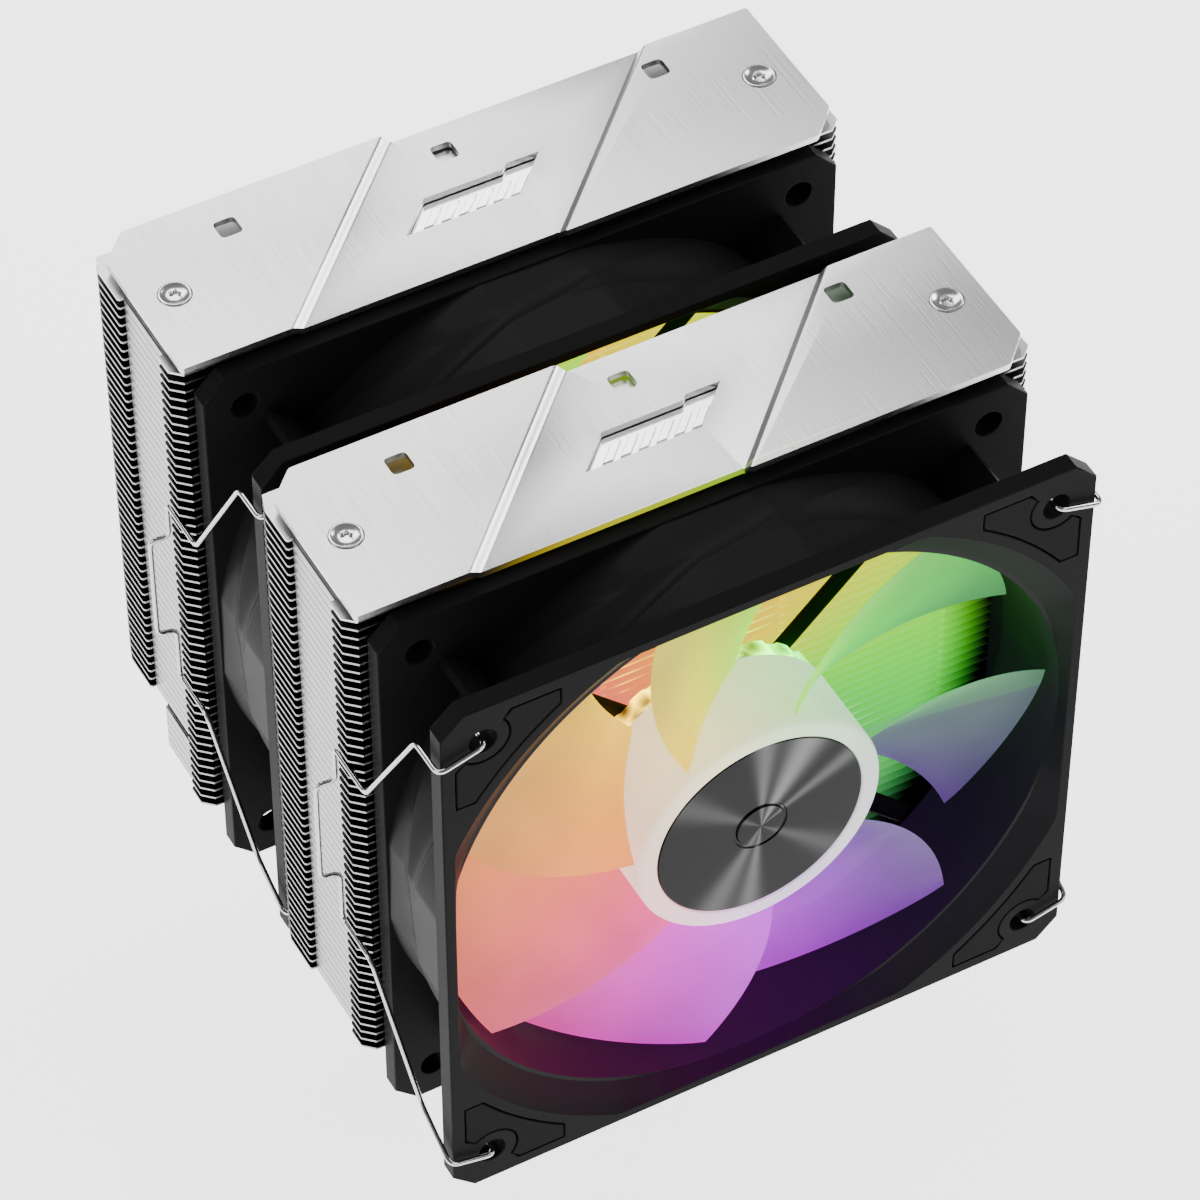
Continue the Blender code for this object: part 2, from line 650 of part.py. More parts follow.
def blade_faces(turn):
    """One twisted blade as a thin closed skin, rooted inside the hub's wall."""
    rows, columns = 3, 3
    sides = {}
    for side in (-1, 1):
        for i in range(rows + 1):
            along = i / rows
            radius = (HUB_R - 0.8 * MM) + (BLADE_TIP_R - HUB_R + 0.8 * MM) * along
            chord = math.radians(44 - 2 * along)
            depth = (BLADE_FRONT - BLADE_BACK) * (1 - 0.25 * along)
            for j in range(columns + 1):
                across = j / columns - 0.5
                angle = turn + chord * across - math.radians(16) * along**1.5
                height = (BLADE_FRONT + BLADE_BACK) / 2 + depth * (across + 0.25 * (across**2 - 0.25))
                height += side * BLADE_THICKNESS / 2
                sides[side, i, j] = (radius * math.cos(angle), radius * math.sin(angle), height)
    faces = []
    for i in range(rows):
        for j in range(columns):
            cell = [(i, j), (i + 1, j), (i + 1, j + 1), (i, j + 1)]
            faces.append([sides[1, *corner] for corner in cell])
            faces.append([sides[-1, *corner] for corner in reversed(cell)])
    rim = [(i, 0) for i in range(rows)] + [(rows, j) for j in range(columns)]
    rim += [(i, columns) for i in range(rows, 0, -1)] + [(0, j) for j in range(columns, 0, -1)]
    for a, b in zip(rim, rim[1:] + rim[:1]):
        faces.append([sides[-1, *a], sides[-1, *b], sides[1, *b], sides[1, *a]])
    return faces


def fan_rotor(fan, parent):
    """The hub cup with its blades, the cap on its front, its shaft and its magnet ring."""
    wall = HUB_R - HUB_WALL
    floor = HUB_FRONT - CAP_THICKNESS - GAP
    roof = floor - 1.8 * MM
    seat = CAP_R + GAP
    cup = [(0, roof), (wall, roof), (wall, HUB_BACK), (HUB_R, HUB_BACK), (HUB_R, HUB_FRONT - 0.6 * MM)]
    cup += [(HUB_R - 0.6 * MM, HUB_FRONT), (seat, HUB_FRONT), (seat, floor), (0, floor)]
    frosted = material(f"frosted_plastic_{fan}", (0.9, 0.9, 0.9), 0.0, 0.4, 0.7)
    name = f"fan_{fan}_rotor"
    rotor = add_object(name, turned(name, cup, 28), frosted, parent=parent)
    faces = []
    for k in range(BLADE_COUNT):
        faces += blade_faces(2 * math.pi * k / BLADE_COUNT)
    boolean(rotor, "UNION", add_cutter(f"{name}_blades", mesh_of("blades", faces), parent))
    cap = [(0, floor + GAP), (CAP_R, floor + GAP), (CAP_R, HUB_FRONT - 0.2 * MM)]
    cap += [(CAP_R - 0.2 * MM, HUB_FRONT), (0, HUB_FRONT)]
    cap_look = material(f"cap_metal_{fan}", (0.04, 0.04, 0.045), 1.0, 0.3)
    add_object(f"fan_{fan}_hub_cap", turned("hub_cap", cap, 28), cap_look, parent=parent)
    low, high = MOTOR_FLOOR + 2 * GAP, roof - GAP
    shaft = [(0, low), (SHAFT_R, low), (SHAFT_R, high), (0, high)]
    shaft_look = material(f"shaft_steel_{fan}", (0.7, 0.7, 0.7), 1.0, 0.15)
    add_object(f"fan_{fan}_shaft", turned("shaft", shaft, 8), shaft_look, parent=parent)
    magnet = [(wall - 3 * MM, HUB_BACK + MM), (wall - GAP, HUB_BACK + MM)]
    magnet += [(wall - GAP, roof - MM), (wall - 3 * MM, roof - MM)]
    magnet_look = material(f"magnet_ferrite_{fan}", (0.08, 0.08, 0.09), 0.0, 0.6)
    add_object(f"fan_{fan}_magnet_ring", turned("magnet_ring", magnet, 16), magnet_look, parent=parent)


def fan_motor(fan, parent):
    """The pieces that stand still inside the hub: bearing, stator and circuit board."""
    foot = MOTOR_FLOOR + GAP
    bearing = [(SHAFT_R + GAP, foot), (3.5 * MM, foot), (3.5 * MM, 16 * MM), (SHAFT_R + GAP, 16 * MM)]
    bearing_look = material(f"bearing_brass_{fan}", (0.75, 0.6, 0.3), 1.0, 0.3)
    add_object(f"fan_{fan}_bearing", turned("bearing", bearing, 8), bearing_look, parent=parent)
    lid = foot + 1.2 * MM
    board = [(3.5 * MM + GAP, foot), (19 * MM, foot), (19 * MM, lid), (3.5 * MM + GAP, lid)]
    board_look = material(f"board_laminate_{fan}", (0.02, 0.12, 0.05), 0.0, 0.45)
    add_object(f"fan_{fan}_circuit_board", turned("circuit_board", board, 16), board_look, parent=parent)
    outline = []
    for quarters in range(4):
        corners = [(math.radians(degrees), reach * MM) for degrees, reach in STATOR_SHOE + STATOR_NECK]
        pole = [(reach * math.cos(t), reach * math.sin(t)) for t, reach in corners]
        outline += quarter_turned(pole, quarters)
    stator = slab("stator", [outline, circle(3.5 * MM + GAP, 12)], 5 * MM, 15 * MM)
    stator_look = material(f"stator_copper_{fan}", (0.6, 0.32, 0.18), 1.0, 0.4)
    add_object(f"fan_{fan}_stator", stator, stator_look, parent=parent)


def fan(name):
    """One complete fan, standing behind its parent empty's outlet plane."""
    stand = bpy.data.objects.new(f"fan_{name}_axis", None)
    stand.location = (0, FAN_OUTLETS[name], FAN_Z)
    stand.rotation_euler.x = math.pi / 2
    bpy.context.scene.collection.objects.link(stand)
    fan_frame(name, stand)
    corner_pads(name, stand)
    fan_rotor(name, stand)
    fan_motor(name, stand)


# Wire clips


def clip_route(side, intake, tower):
    """The bent spring wire of one side, from the upper hook to the lower one.

    It is drawn about the hinge line through the two hooks, which stands at the fan's intake face.
    """
    hole = FAN_HOLE_PITCH / 2
    face = -(CLIP_WIRE_R + GAP)
    edge = FAN_SIZE / 2 + CLIP_WIRE_R + GAP - hole
    fins = WALL_X + CLIP_WIRE_R + GAP - hole
    rest = tower - CLIP_REST_Y - intake
    before = FIN_FRONT + tower - intake
    top, bottom = FAN_Z + hole, FAN_Z - hole
    corners = [
        (0, CLIP_HOOK, top),
        (0, face, top),
        (edge, face, top - 2.5 * MM),
        (edge, 7 * MM, top - 2.8 * MM),
        (fins, before - 4 * MM, CLIP_UPPER_Z),
        (fins, rest, CLIP_UPPER_Z),
        (fins, rest, GRIP_Z[1]),
        (fins + GRIP_REACH, rest + 0.5 * MM, GRIP_Z[1]),
        (fins + GRIP_REACH, rest + 0.5 * MM, GRIP_Z[0]),
        (fins, rest, GRIP_Z[0]),
        (fins, rest, CLIP_LOWER_Z),
        (fins, before - 3 * MM, CLIP_LOWER_Z),
        (edge, 9 * MM, bottom + 7 * MM),
        (edge, face, bottom + 2 * MM),
        (0, face, bottom),
        (0, CLIP_HOOK, bottom),
    ]
    return [(side * x, y, z) for x, y, z in rounded_route(corners, 1.2 * MM, 1)]


def wire_clips():
    look = material("clip_spring_wire", (0.72, 0.72, 0.74), 1.0, 0.18)
    for name, tower in zip(FAN_OUTLETS, TOWERS.values()):
        intake = FAN_OUTLETS[name] - FAN_DEPTH
        for side, word in ((-1, "left"), (1, "right")):
            place = (side * FAN_HOLE_PITCH / 2, intake, 0)
            title = f"fan_{name}_clip_{word}"
            add_object(title, wire(title, clip_route(side, intake, tower), CLIP_WIRE_R, 1), look, place)


clear_scene()
cold_plate()
base_block()
heat_pipes()
mounting_bar()
bar_screws()
spring_screws()
for tower_name in TOWERS:
    fin_stack(tower_name)
    top_cover(tower_name)
    badge_plate(tower_name)
    cover_screws(tower_name)
for fan_name in FAN_OUTLETS:
    fan(fan_name)
wire_clips()
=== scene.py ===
"""A dual-tower processor cooler with two clipped fans, dressed around its frame of bodies."""

import math

import bmesh
import bpy
import numpy as np
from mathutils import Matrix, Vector
from mathutils.geometry import delaunay_2d_cdt


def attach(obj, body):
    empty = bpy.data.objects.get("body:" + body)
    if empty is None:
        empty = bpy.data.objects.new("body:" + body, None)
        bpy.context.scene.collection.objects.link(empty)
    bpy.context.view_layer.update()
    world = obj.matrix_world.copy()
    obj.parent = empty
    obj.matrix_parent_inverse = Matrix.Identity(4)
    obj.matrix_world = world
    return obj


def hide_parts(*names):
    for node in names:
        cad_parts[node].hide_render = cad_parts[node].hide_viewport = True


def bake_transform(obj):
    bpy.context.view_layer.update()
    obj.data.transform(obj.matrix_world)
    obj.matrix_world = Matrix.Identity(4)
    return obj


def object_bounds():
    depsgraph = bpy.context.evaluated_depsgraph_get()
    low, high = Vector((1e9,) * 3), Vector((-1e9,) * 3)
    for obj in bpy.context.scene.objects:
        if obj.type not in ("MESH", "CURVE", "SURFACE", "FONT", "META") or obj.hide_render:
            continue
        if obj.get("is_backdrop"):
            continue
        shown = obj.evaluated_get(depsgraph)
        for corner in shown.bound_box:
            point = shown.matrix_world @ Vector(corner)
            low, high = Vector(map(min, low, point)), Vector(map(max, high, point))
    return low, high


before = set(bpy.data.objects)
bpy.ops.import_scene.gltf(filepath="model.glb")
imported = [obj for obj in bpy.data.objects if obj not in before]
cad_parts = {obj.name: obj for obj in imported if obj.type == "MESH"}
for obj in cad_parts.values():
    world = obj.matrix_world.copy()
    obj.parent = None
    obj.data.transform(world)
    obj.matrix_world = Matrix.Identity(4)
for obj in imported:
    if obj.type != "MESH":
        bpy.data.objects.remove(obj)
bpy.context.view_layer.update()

# ---------------- cold plate and base block
# The cold plate is nickel-plated copper, lapped flat. The aluminium block above it is milled
# and clamps the heat pipes, which are soldered into its grooves.

MM = 0.001
PLATE_HALF = (25 * MM, 19 * MM)
PLATE_TOP = 2.5 * MM
BLOCK_HALF = (25 * MM, 16 * MM)
BLOCK_SPAN = (2.8 * MM, 13 * MM)
SAME_POINT = 1e-6
BEVEL_ANGLE = 50


def mm(values):
    """Sizes given in millimetres, in metres."""
    return np.array(values, float) * MM


def whole_turn(steps):
    """Angles evenly round a full turn, from 0."""
    return np.linspace(0, 2 * math.pi, steps, endpoint=False)


def around(radius, turn, height):
    """P = (r cos t, r sin t, z)."""
    return np.stack(np.broadcast_arrays(radius * np.cos(turn), radius * np.sin(turn), height), -1)


def grid_faces(rows, columns, close_rows=False, close_columns=False):
    """Quads between neighbouring points of a grid; closing joins the last line to the first."""
    i = np.arange(rows if close_rows else rows - 1)[:, None]
    j = np.arange(columns if close_columns else columns - 1)[None, :]
    near, far = i * columns, (i + 1) % rows * columns
    beside = (j + 1) % columns
    return np.stack([near + j, near + beside, far + beside, far + j], -1).reshape(-1, 4)


def capped(points):
    """A tube from its rings P(row, column), with the first and last ring closed flat."""
    rows, columns = points.shape[:2]
    ring = np.arange(columns)
    ends = np.array([ring[::-1], ring + (rows - 1) * columns])
    return points, [grid_faces(rows, columns, close_columns=True), ends]


def joined(parts):
    """Several (points, groups of faces) pairs as one."""
    points, groups, first = [], [], 0
    for part_points, part_groups in parts:
        part_points = np.asarray(part_points, float).reshape(-1, 3)
        groups += [np.asarray(group) + first for group in part_groups]
        points.append(part_points)
        first += len(part_points)
    return np.concatenate(points), groups


def make(name, shape, look, slot, body="cooler", stands_for=(), sharp=35, bevel=0.0):
    """A piece from its points and faces, smooth except across edges sharper than the angle."""
    points, groups = shape
    mesh = bpy.data.meshes.new(name)
    faces = [face for group in groups for face in np.asarray(group).tolist()]
    mesh.from_pydata(np.asarray(points, float).reshape(-1, 3).tolist(), [], faces)
    work = bmesh.new()
    work.from_mesh(mesh)
    bmesh.ops.remove_doubles(work, verts=work.verts, dist=SAME_POINT)
    bmesh.ops.recalc_face_normals(work, faces=work.faces)
    work.to_mesh(mesh)
    work.free()
    mesh.shade_smooth()
    mesh.set_sharp_from_angle(angle=math.radians(sharp))
    mesh.materials.append(look)
    piece = bpy.data.objects.new(name, mesh)
    bpy.context.scene.collection.objects.link(piece)
    if bevel:
        modifier = piece.modifiers.new("rounded edges", "BEVEL")
        modifier.width = bevel
        modifier.segments = 2
        modifier.limit_method = "ANGLE"
        modifier.angle_limit = math.radians(BEVEL_ANGLE)
        modifier.harden_normals = True
    if body:
        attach(piece, body)
    if stands_for:
        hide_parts(*stands_for)
    return piece


def part(name, shape, look, slot, body="cooler", ending="body", **more):
    """A piece that stands for the node it is named after."""
    return make(f"{name}_{ending}", shape, look, slot, body, [name], **more)


def rounded_plate(half_x, half_y, radius, low, high, edge):
    """Rings P(s, t) of a rounded rectangle that shrinks by edge * (1 - sin t) towards each face.

    The corners are quarter circles of the radius less the same amount, and the first and last
    ring are closed flat.
    """
    s = np.linspace(0, math.pi / 2, 7)
    turn = np.concatenate([s + k * math.pi / 2 for k in range(4)])
    sign = np.repeat([[1, 1], [-1, 1], [-1, -1], [1, -1]], len(s), axis=0)
    t = np.linspace(0, math.pi / 2, 4)
    inset = np.concatenate([edge * (1 - np.sin(t)), edge * (1 - np.sin(t[::-1]))])
    height = np.concatenate([low + edge * (1 - np.cos(t)), high - edge * (1 - np.cos(t[::-1]))])
    corner = sign * (np.array([half_x, half_y]) - radius)
    arc = np.column_stack([np.cos(turn), np.sin(turn)])
    flat = corner + arc * (radius - inset)[:, None, None]
    level = np.broadcast_to(height[:, None, None], (*flat.shape[:2], 1))
    return capped(np.concatenate([flat, level], -1))


def linked(tree, target, **inputs):
    """The node with each input set to a value, or linked to another node's output."""
    for name, value in inputs.items():
        socket = target.inputs[name.replace("_", " ")]
        if isinstance(value, bpy.types.NodeSocket):
            tree.links.new(value, socket)
        else:
            socket.default_value = value
    return target


def add(tree, kind, **inputs):
    """A new shader node of a kind."""
    return linked(tree, tree.nodes.new("ShaderNode" + kind), **inputs)


def mixed(tree, factor, a, b, blend="MIX"):
    """Two colours mixed by a factor."""
    mix = tree.nodes.new("ShaderNodeMix")
    mix.data_type = "RGBA"
    mix.blend_type = blend
    return linked(tree, mix, Factor=factor, A=a, B=b).outputs["Result"]


def surface(name, colour, metallic, roughness, grain=(1, 1, 1), scale=400.0, spread=0.1,
            rough_spread=0.06, bump=0.05, depth=0.00005, **sockets):
    """A Principled finish with a noise that follows the piece.

    Colour = base * (1 - spread + 2 * spread * noise), roughness = base + rough_spread * (noise - 0.5),
    and the same noise is the bump. grain stretches the noise along an axis where it is small.
    """
    made = bpy.data.materials.new(name)
    made.use_nodes = True
    tree = made.node_tree
    shader = linked(tree, tree.nodes["Principled BSDF"], Metallic=metallic, **sockets)
    place = add(tree, "TexCoord").outputs["Object"]
    grained = add(tree, "Mapping", Vector=place, Scale=grain).outputs["Vector"]
    noise = add(tree, "TexNoise", Vector=grained, Scale=scale, Detail=4.0).outputs["Fac"]
    low, high = [(*[min(1.0, c * share) for c in colour], 1) for share in (1 - spread, 1 + spread)]
    gloss = add(tree, "MapRange", Value=noise, To_Min=roughness - rough_spread / 2,
                To_Max=roughness + rough_spread / 2)
    relief = add(tree, "Bump", Strength=bump, Distance=depth, Height=noise)
    linked(tree, shader, Base_Color=mixed(tree, noise, low, high), Roughness=gloss.outputs["Result"],
           Normal=relief.outputs["Normal"])
    return made


nickel = surface("nickel plating", (0.40, 0.385, 0.37), 1.0, 0.2, scale=900, spread=0.06, bump=0.1)
milled = surface("milled aluminium", (0.42, 0.43, 0.44), 1.0, 0.33, grain=(0.05, 1, 1), scale=5000,
                 spread=0.06, bump=0.3)
part("cold_plate", rounded_plate(*PLATE_HALF, 2 * MM, 0, PLATE_TOP, 0.4 * MM), nickel,
     "nickel_plated_copper")
part("base_block", rounded_plate(*BLOCK_HALF, 1 * MM, *BLOCK_SPAN, 0.5 * MM), milled, "base_aluminium")

# ---------------- heat pipes
# Six nickel-plated copper pipes run through the base and stand up in both towers. They are bent
# cold, and their ends are spun shut above the top fin.

PIPE_R = 3.0 * MM
PIPE_Z = 6.1 * MM
PIPE_TURN_Y = 25.5 * MM
PIPE_STRAIGHT_Z = 40 * MM
PIPE_TOP = 153.2 * MM
PIPE_BEND_R = 9 * MM
PIPE_PITCH = (7.2 * MM, 17.0 * MM)
PIPE_ROW = 6.0 * MM
TOWERS = {"front": -31.15 * MM, "rear": 31.15 * MM}


def bend(before, corner, after, radius, most, steps):
    """Points (1-t)^2 a + 2t(1-t) corner + t^2 b, from a to b on the two runs beside a corner.

    a and b are a radius from the corner, but at most a share of their run away.
    """
    t = np.linspace(0, 1, steps)[:, None]
    back, ahead = before - corner, after - corner
    reach = min(radius, most * np.linalg.norm(back), most * np.linalg.norm(ahead))
    a = corner + back / np.linalg.norm(back) * reach
    b = corner + ahead / np.linalg.norm(ahead) * reach
    return (1 - t) ** 2 * a + 2 * t * (1 - t) * corner + t**2 * b


def rounded_route(corners, radius, steps=9):
    """Corners joined by straight runs, each inner corner replaced by a bend."""
    corners = np.array(corners, float)
    bends = [bend(*three, radius, 0.48, steps) for three in zip(corners, corners[1:], corners[2:])]
    return np.concatenate([corners[:1], *bends, corners[-1:]])


def tube(route, radii, sides=20):
    """P(s, t) = route(s) + radius(s) * (n cos t + b sin t), with n carried along without twist."""
    tangent = np.gradient(route, axis=0)
    tangent /= np.linalg.norm(tangent, axis=1)[:, None]
    normal = np.empty_like(route)
    upright = abs(tangent[0][2]) >= 0.8
    first = np.cross(tangent[0], [0.93, 0.3, 0.2] if upright else [0.31, 0.22, 0.93])
    normal[0] = first / np.linalg.norm(first)
    for k in range(1, len(route)):
        across = normal[k - 1] - tangent[k] * (normal[k - 1] @ tangent[k])
        normal[k] = across / np.linalg.norm(across)
    side = np.cross(tangent, normal)
    t = whole_turn(sides)
    ring = normal[:, None] * np.cos(t)[None, :, None] + side[:, None] * np.sin(t)[None, :, None]
    return capped(route[:, None] + ring * np.broadcast_to(radii, len(route))[:, None, None])


def domed(route, radius):
    """The route with both ends drawn in to a dome: radius * sqrt(1 - u^2) over the last radius."""
    u = np.array([0.97, 0.85, 0.6, 0.3])[:, None]
    tips = []
    for end, inner in ((route[0], route[1]), (route[-1], route[-2])):
        tips.append(end + (inner - end) / np.linalg.norm(inner - end) * radius * (1 - u))
    dome = radius * np.sqrt(1 - u[:, 0] ** 2)
    full = np.concatenate([tips[0], route[1:-1], tips[1][::-1]])
    return full, np.concatenate([dome, np.full(len(route) - 2, radius), dome[::-1]])


for i in range(6):
    base_x, tower_x = [(i - 2.5) * pitch for pitch in PIPE_PITCH]
    leg_y = TOWERS["rear"] + (-PIPE_ROW if i in (1, 4) else PIPE_ROW)
    half = [(base_x, 0, PIPE_Z), (base_x, PIPE_TURN_Y, PIPE_Z), (tower_x, leg_y, PIPE_STRAIGHT_Z),
            (tower_x, leg_y, PIPE_TOP)]
    corners = [(x, -y, z) for x, y, z in half[:0:-1]] + half[1:]
    route, radii = domed(rounded_route(corners, PIPE_BEND_R, 11), PIPE_R)
    part(f"heat_pipe_{i + 1}", tube(route, radii, 24), nickel, "nickel_plated_copper")

# ---------------- mounting bar
# A satin nickel steel bar lies on the base block under two low-head screws. At its ends sit the
# spring screws, each a turned steel screw with a wound spring and a black retaining ring.


BAR_HALF = (48 * MM, 7 * MM)
BAR_SPAN = (13.3 * MM, 15.3 * MM)
BAR_SCREW_X = 14.4 * MM
SPRING_SCREW_X = 41 * MM
SCREW_TIP = 4 * MM
SCREW_HEAD = 27 * MM
RING_Z = 12.2 * MM
SPRING_SPAN = (16.05 * MM, 26.25 * MM)
SPRING_R = 3.3 * MM
SPRING_WIRE_R = 0.45 * MM
SPRING_TURNS = 4
THREAD_SIDES = 24


def lathe(profile, steps, centre=(0, 0, 0), waves=0.0):
    """P(k, t) = (r_k cos t, r_k sin t, z_k), where waves multiplies r_k by 1 + w_k cos 6t."""
    profile = np.array(profile, float)
    t = whole_turn(steps)
    waves = np.broadcast_to(waves, len(profile))[:, None]
    radius = profile[:, :1] * (1 + waves * np.cos(6 * t))
    points = around(radius, t, profile[:, 1:]) + np.array(centre)
    groups = [grid_faces(len(profile), steps, close_columns=True)]
    if profile[0, 0] > 0 and profile[-1, 0] > 0:
        ring = np.arange(steps)
        last, following = (len(profile) - 1) * steps, (ring + 1) % steps
        groups.append(np.stack([last + ring, last + following, following, ring], -1))
    return points, groups


def spiral_threads(radius, low, high, pitch, depth, centre):
    """A threaded rod: r = radius - depth * |2 frac(z / pitch - t / 2 pi) - 1|."""
    z = np.linspace(low, high, int((high - low) / pitch * 8))[:, None]
    t = whole_turn(THREAD_SIDES)[None]
    phase = np.mod(z / pitch - t / (2 * math.pi), 1.0)
    r = radius - depth * np.abs(2 * phase - 1)
    return capped(around(r, t, z) + np.array(centre))


bar_steel = surface("satin bar steel", (0.36, 0.365, 0.37), 1.0, 0.28, grain=(0.06, 1, 1), scale=4000,
                    spread=0.08, bump=0.25)
bright_steel = surface("turned steel", (0.74, 0.74, 0.75), 1.0, 0.2, scale=1500, spread=0.04, bump=0.15)
black_steel = surface("black oxide steel", (0.10, 0.10, 0.105), 1.0, 0.35, scale=1500, spread=0.1,
                      bump=0.2)
spring_steel = surface("spring wire", (0.55, 0.56, 0.58), 1.0, 0.22, scale=2500, spread=0.05, bump=0.15)
part("mounting_bar", rounded_plate(*BAR_HALF, 6 * MM, *BAR_SPAN, 0.4 * MM), bar_steel, "bar_steel")
low_head = mm([(0, 0), (2.7, 0), (2.7, 1.2), (2.5, 1.6), (2.0, 1.8), (1.2, 1.8), (1.1, 0.8), (0, 0.8)])
shank = mm([(0, -17), (2, -17), (2, 0), (3.8, 0), (4, 0.2), (4, 3.4), (3.8, 3.85), (3.4, 4), (1.5, 4),
            (1.3, 2), (0, 2)])
ring = mm([(2.3, 0), (3.5, 0), (3.6, 0.1), (3.6, 0.7), (3.5, 0.8), (2.3, 0.8)])
s = np.linspace(0, 1, 40 * SPRING_TURNS)
turn = 2 * math.pi * SPRING_TURNS * s
# The first and last turn lie flat, as ground spring ends do.
rise = np.clip((s * SPRING_TURNS - 0.5) / (SPRING_TURNS - 1), 0, 1)
foot, top = SPRING_SPAN
winding = np.stack([SPRING_R * np.cos(turn), SPRING_R * np.sin(turn), foot + (top - foot) * rise], -1)
for side, sign in (("left", -1), ("right", 1)):
    head = lathe(low_head, 48, (sign * BAR_SCREW_X, 0, BAR_SPAN[1]), [0, 0, 0, 0, 0, 0.1, 0.1, 0])
    part(f"bar_screw_{side}", head, black_steel, "screw_steel", ending="head")
    x, body = sign * SPRING_SCREW_X, f"{side}_spring_screw"
    screw = joined([lathe(shank, 48, (x, 0, SCREW_HEAD), [0] * 8 + [0.1, 0.1, 0]),
                    spiral_threads(1.5 * MM, SCREW_TIP, 10.2 * MM, 0.5 * MM, 0.22 * MM, (x, 0, 0))])
    part(f"spring_screw_{side}", screw, bright_steel, "screw_steel", body)
    part(f"retaining_ring_{side}", lathe(ring, 40, (x, 0, RING_Z)), black_steel, "spring_steel", body)
    spring = part(f"spring_{side}", tube(winding + np.array([x, 0, 0]), SPRING_WIRE_R, 10), spring_steel,
                  "spring_steel", None, "wire")
    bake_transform(spring)

# ---------------- fin stacks
# Each tower is 55 fins of 0.4 mm aluminium sheet, pressed onto the pipes 2 mm apart. Halfway
# along each side the fin edges are folded down and lock together into a smooth wall.

FIN_COUNT = 55
FIN_PITCH = 2.0 * MM
FIN_SHEET = 0.4 * MM
FIN_BOTTOM = 46 * MM
EDGE_X = 63.3 * MM
WALL_X = 62.2 * MM
WALL_Y = (-9.2 * MM, 5.8 * MM)
FIN_Y = (-15.1 * MM, 16.8 * MM)
SHORT_BACK = 2.3 * MM
SHORT_BELOW = 58 * MM
TAB_X = (-49 * MM, -17 * MM, 17 * MM, 49 * MM)


def slab(upper, lower):
    """Both faces of a plate from two grids of points, with a wall round their edge."""
    rows, columns = upper.shape[:2]
    count = rows * columns
    index = np.arange(count).reshape(rows, columns)
    rim = np.concatenate([index[0, :-1], index[:-1, -1], index[-1, :0:-1], index[:0:-1, 0]])
    following = np.roll(rim, -1)
    faces = grid_faces(rows, columns)
    walls = np.stack([rim, following, following + count, rim + count], -1)
    return np.stack([upper, lower]), [faces, faces[:, ::-1] + count, walls]


def fin(tower, z, short):
    """One fin: P(u, y) = (u * side(y), y, z), where side(y) steps in at the folded wall."""
    hook = 0.35 * MM
    inset = WALL_X - hook
    rows = [(FIN_Y[0], EDGE_X - 2.0 * MM), (FIN_Y[0] + 1.9 * MM, EDGE_X), (WALL_Y[0] - hook, EDGE_X),
            (WALL_Y[0], EDGE_X - hook), (WALL_Y[0], inset), (WALL_Y[1], inset), (WALL_Y[1], EDGE_X - hook),
            (WALL_Y[1] + hook, EDGE_X), (FIN_Y[1] - 3.2 * MM, EDGE_X), (FIN_Y[1], EDGE_X - 1.1 * MM)]
    rows = np.array(rows[:5] + [(SHORT_BACK, inset)] if short else rows)
    x = rows[:, 1:] * np.array([-1, -0.9, -0.5, 0, 0.5, 0.9, 1.0])
    y = TOWERS[tower] + rows[:, :1] + 0 * x
    lower = np.stack([x, y, np.full_like(x, z)], -1)
    return slab(lower + np.array([0, 0, FIN_SHEET]), lower)


def folded_wall(tower, sign, low, high, back):
    """The locked fold tabs: x = wall - groove(z), a narrow groove at each fin's seam."""
    seams = np.arange(low, high + FIN_PITCH / 2, FIN_PITCH)
    z = (seams[:, None] + mm([-0.12, -0.04, 0.04, 0.12])).ravel()
    outer = WALL_X - np.tile(mm([0, 0.12, 0.12, 0]), len(seams))
    y = np.array([WALL_Y[0], back])
    skin = np.stack(np.broadcast_arrays(sign * outer[:, None], TOWERS[tower] + y[None], z[:, None]), -1)
    inner = skin.copy()
    inner[..., 0] = sign * (WALL_X - 0.8 * MM)
    return slab(skin, inner)


def link_ribbon(tower, x, y, low, high):
    """A column of lock tabs between the fins: a thin ribbon that steps in and out once per fin."""
    k = np.arange(int((high - low) / FIN_PITCH))
    z = (low + k[:, None] * FIN_PITCH + mm([0.2, 0.9, 1.0, 1.9])).ravel()
    step = np.tile(mm([0, 0, 0.5, 0.5]), len(k))[:, None]
    front = np.stack(np.broadcast_arrays(x + mm([-0.45, 0.45]), y + TOWERS[tower] + step, z[:, None]), -1)
    return slab(front, front + mm([0, 0.35, 0]))


FAN_Z = 94 * MM
OUTLETS = {"front": -46.55 * MM, "rear": 15.75 * MM}
FAN_DEPTH = 25 * MM
# The lights' colours round a fan: angle as a share of a turn, anticlockwise from the right.
GLOW = (
    (0.00, (0.07, 0.13, 0.12)), (0.08, (0.05, 0.50, 0.08)), (0.17, (0.06, 0.95, 0.01)),
    (0.25, (0.55, 0.85, 0.00)), (0.32, (1.00, 0.72, 0.00)), (0.41, (1.00, 0.40, 0.03)),
    (0.50, (1.00, 0.24, 0.05)), (0.59, (1.00, 0.07, 0.14)), (0.67, (0.90, 0.02, 0.55)),
    (0.75, (0.70, 0.00, 0.95)), (0.83, (0.22, 0.01, 0.50)), (0.92, (0.06, 0.06, 0.13)),
    (1.00, (0.07, 0.13, 0.12)),
)


def maths(tree, operation, *values):
    """One math node on the values, which are numbers or other nodes' outputs."""
    node = tree.nodes.new("ShaderNodeMath")
    node.operation = operation
    for socket, value in zip(node.inputs, values):
        if isinstance(value, (int, float)):
            socket.default_value = value
        else:
            tree.links.new(value, socket)
    return node.outputs[0]


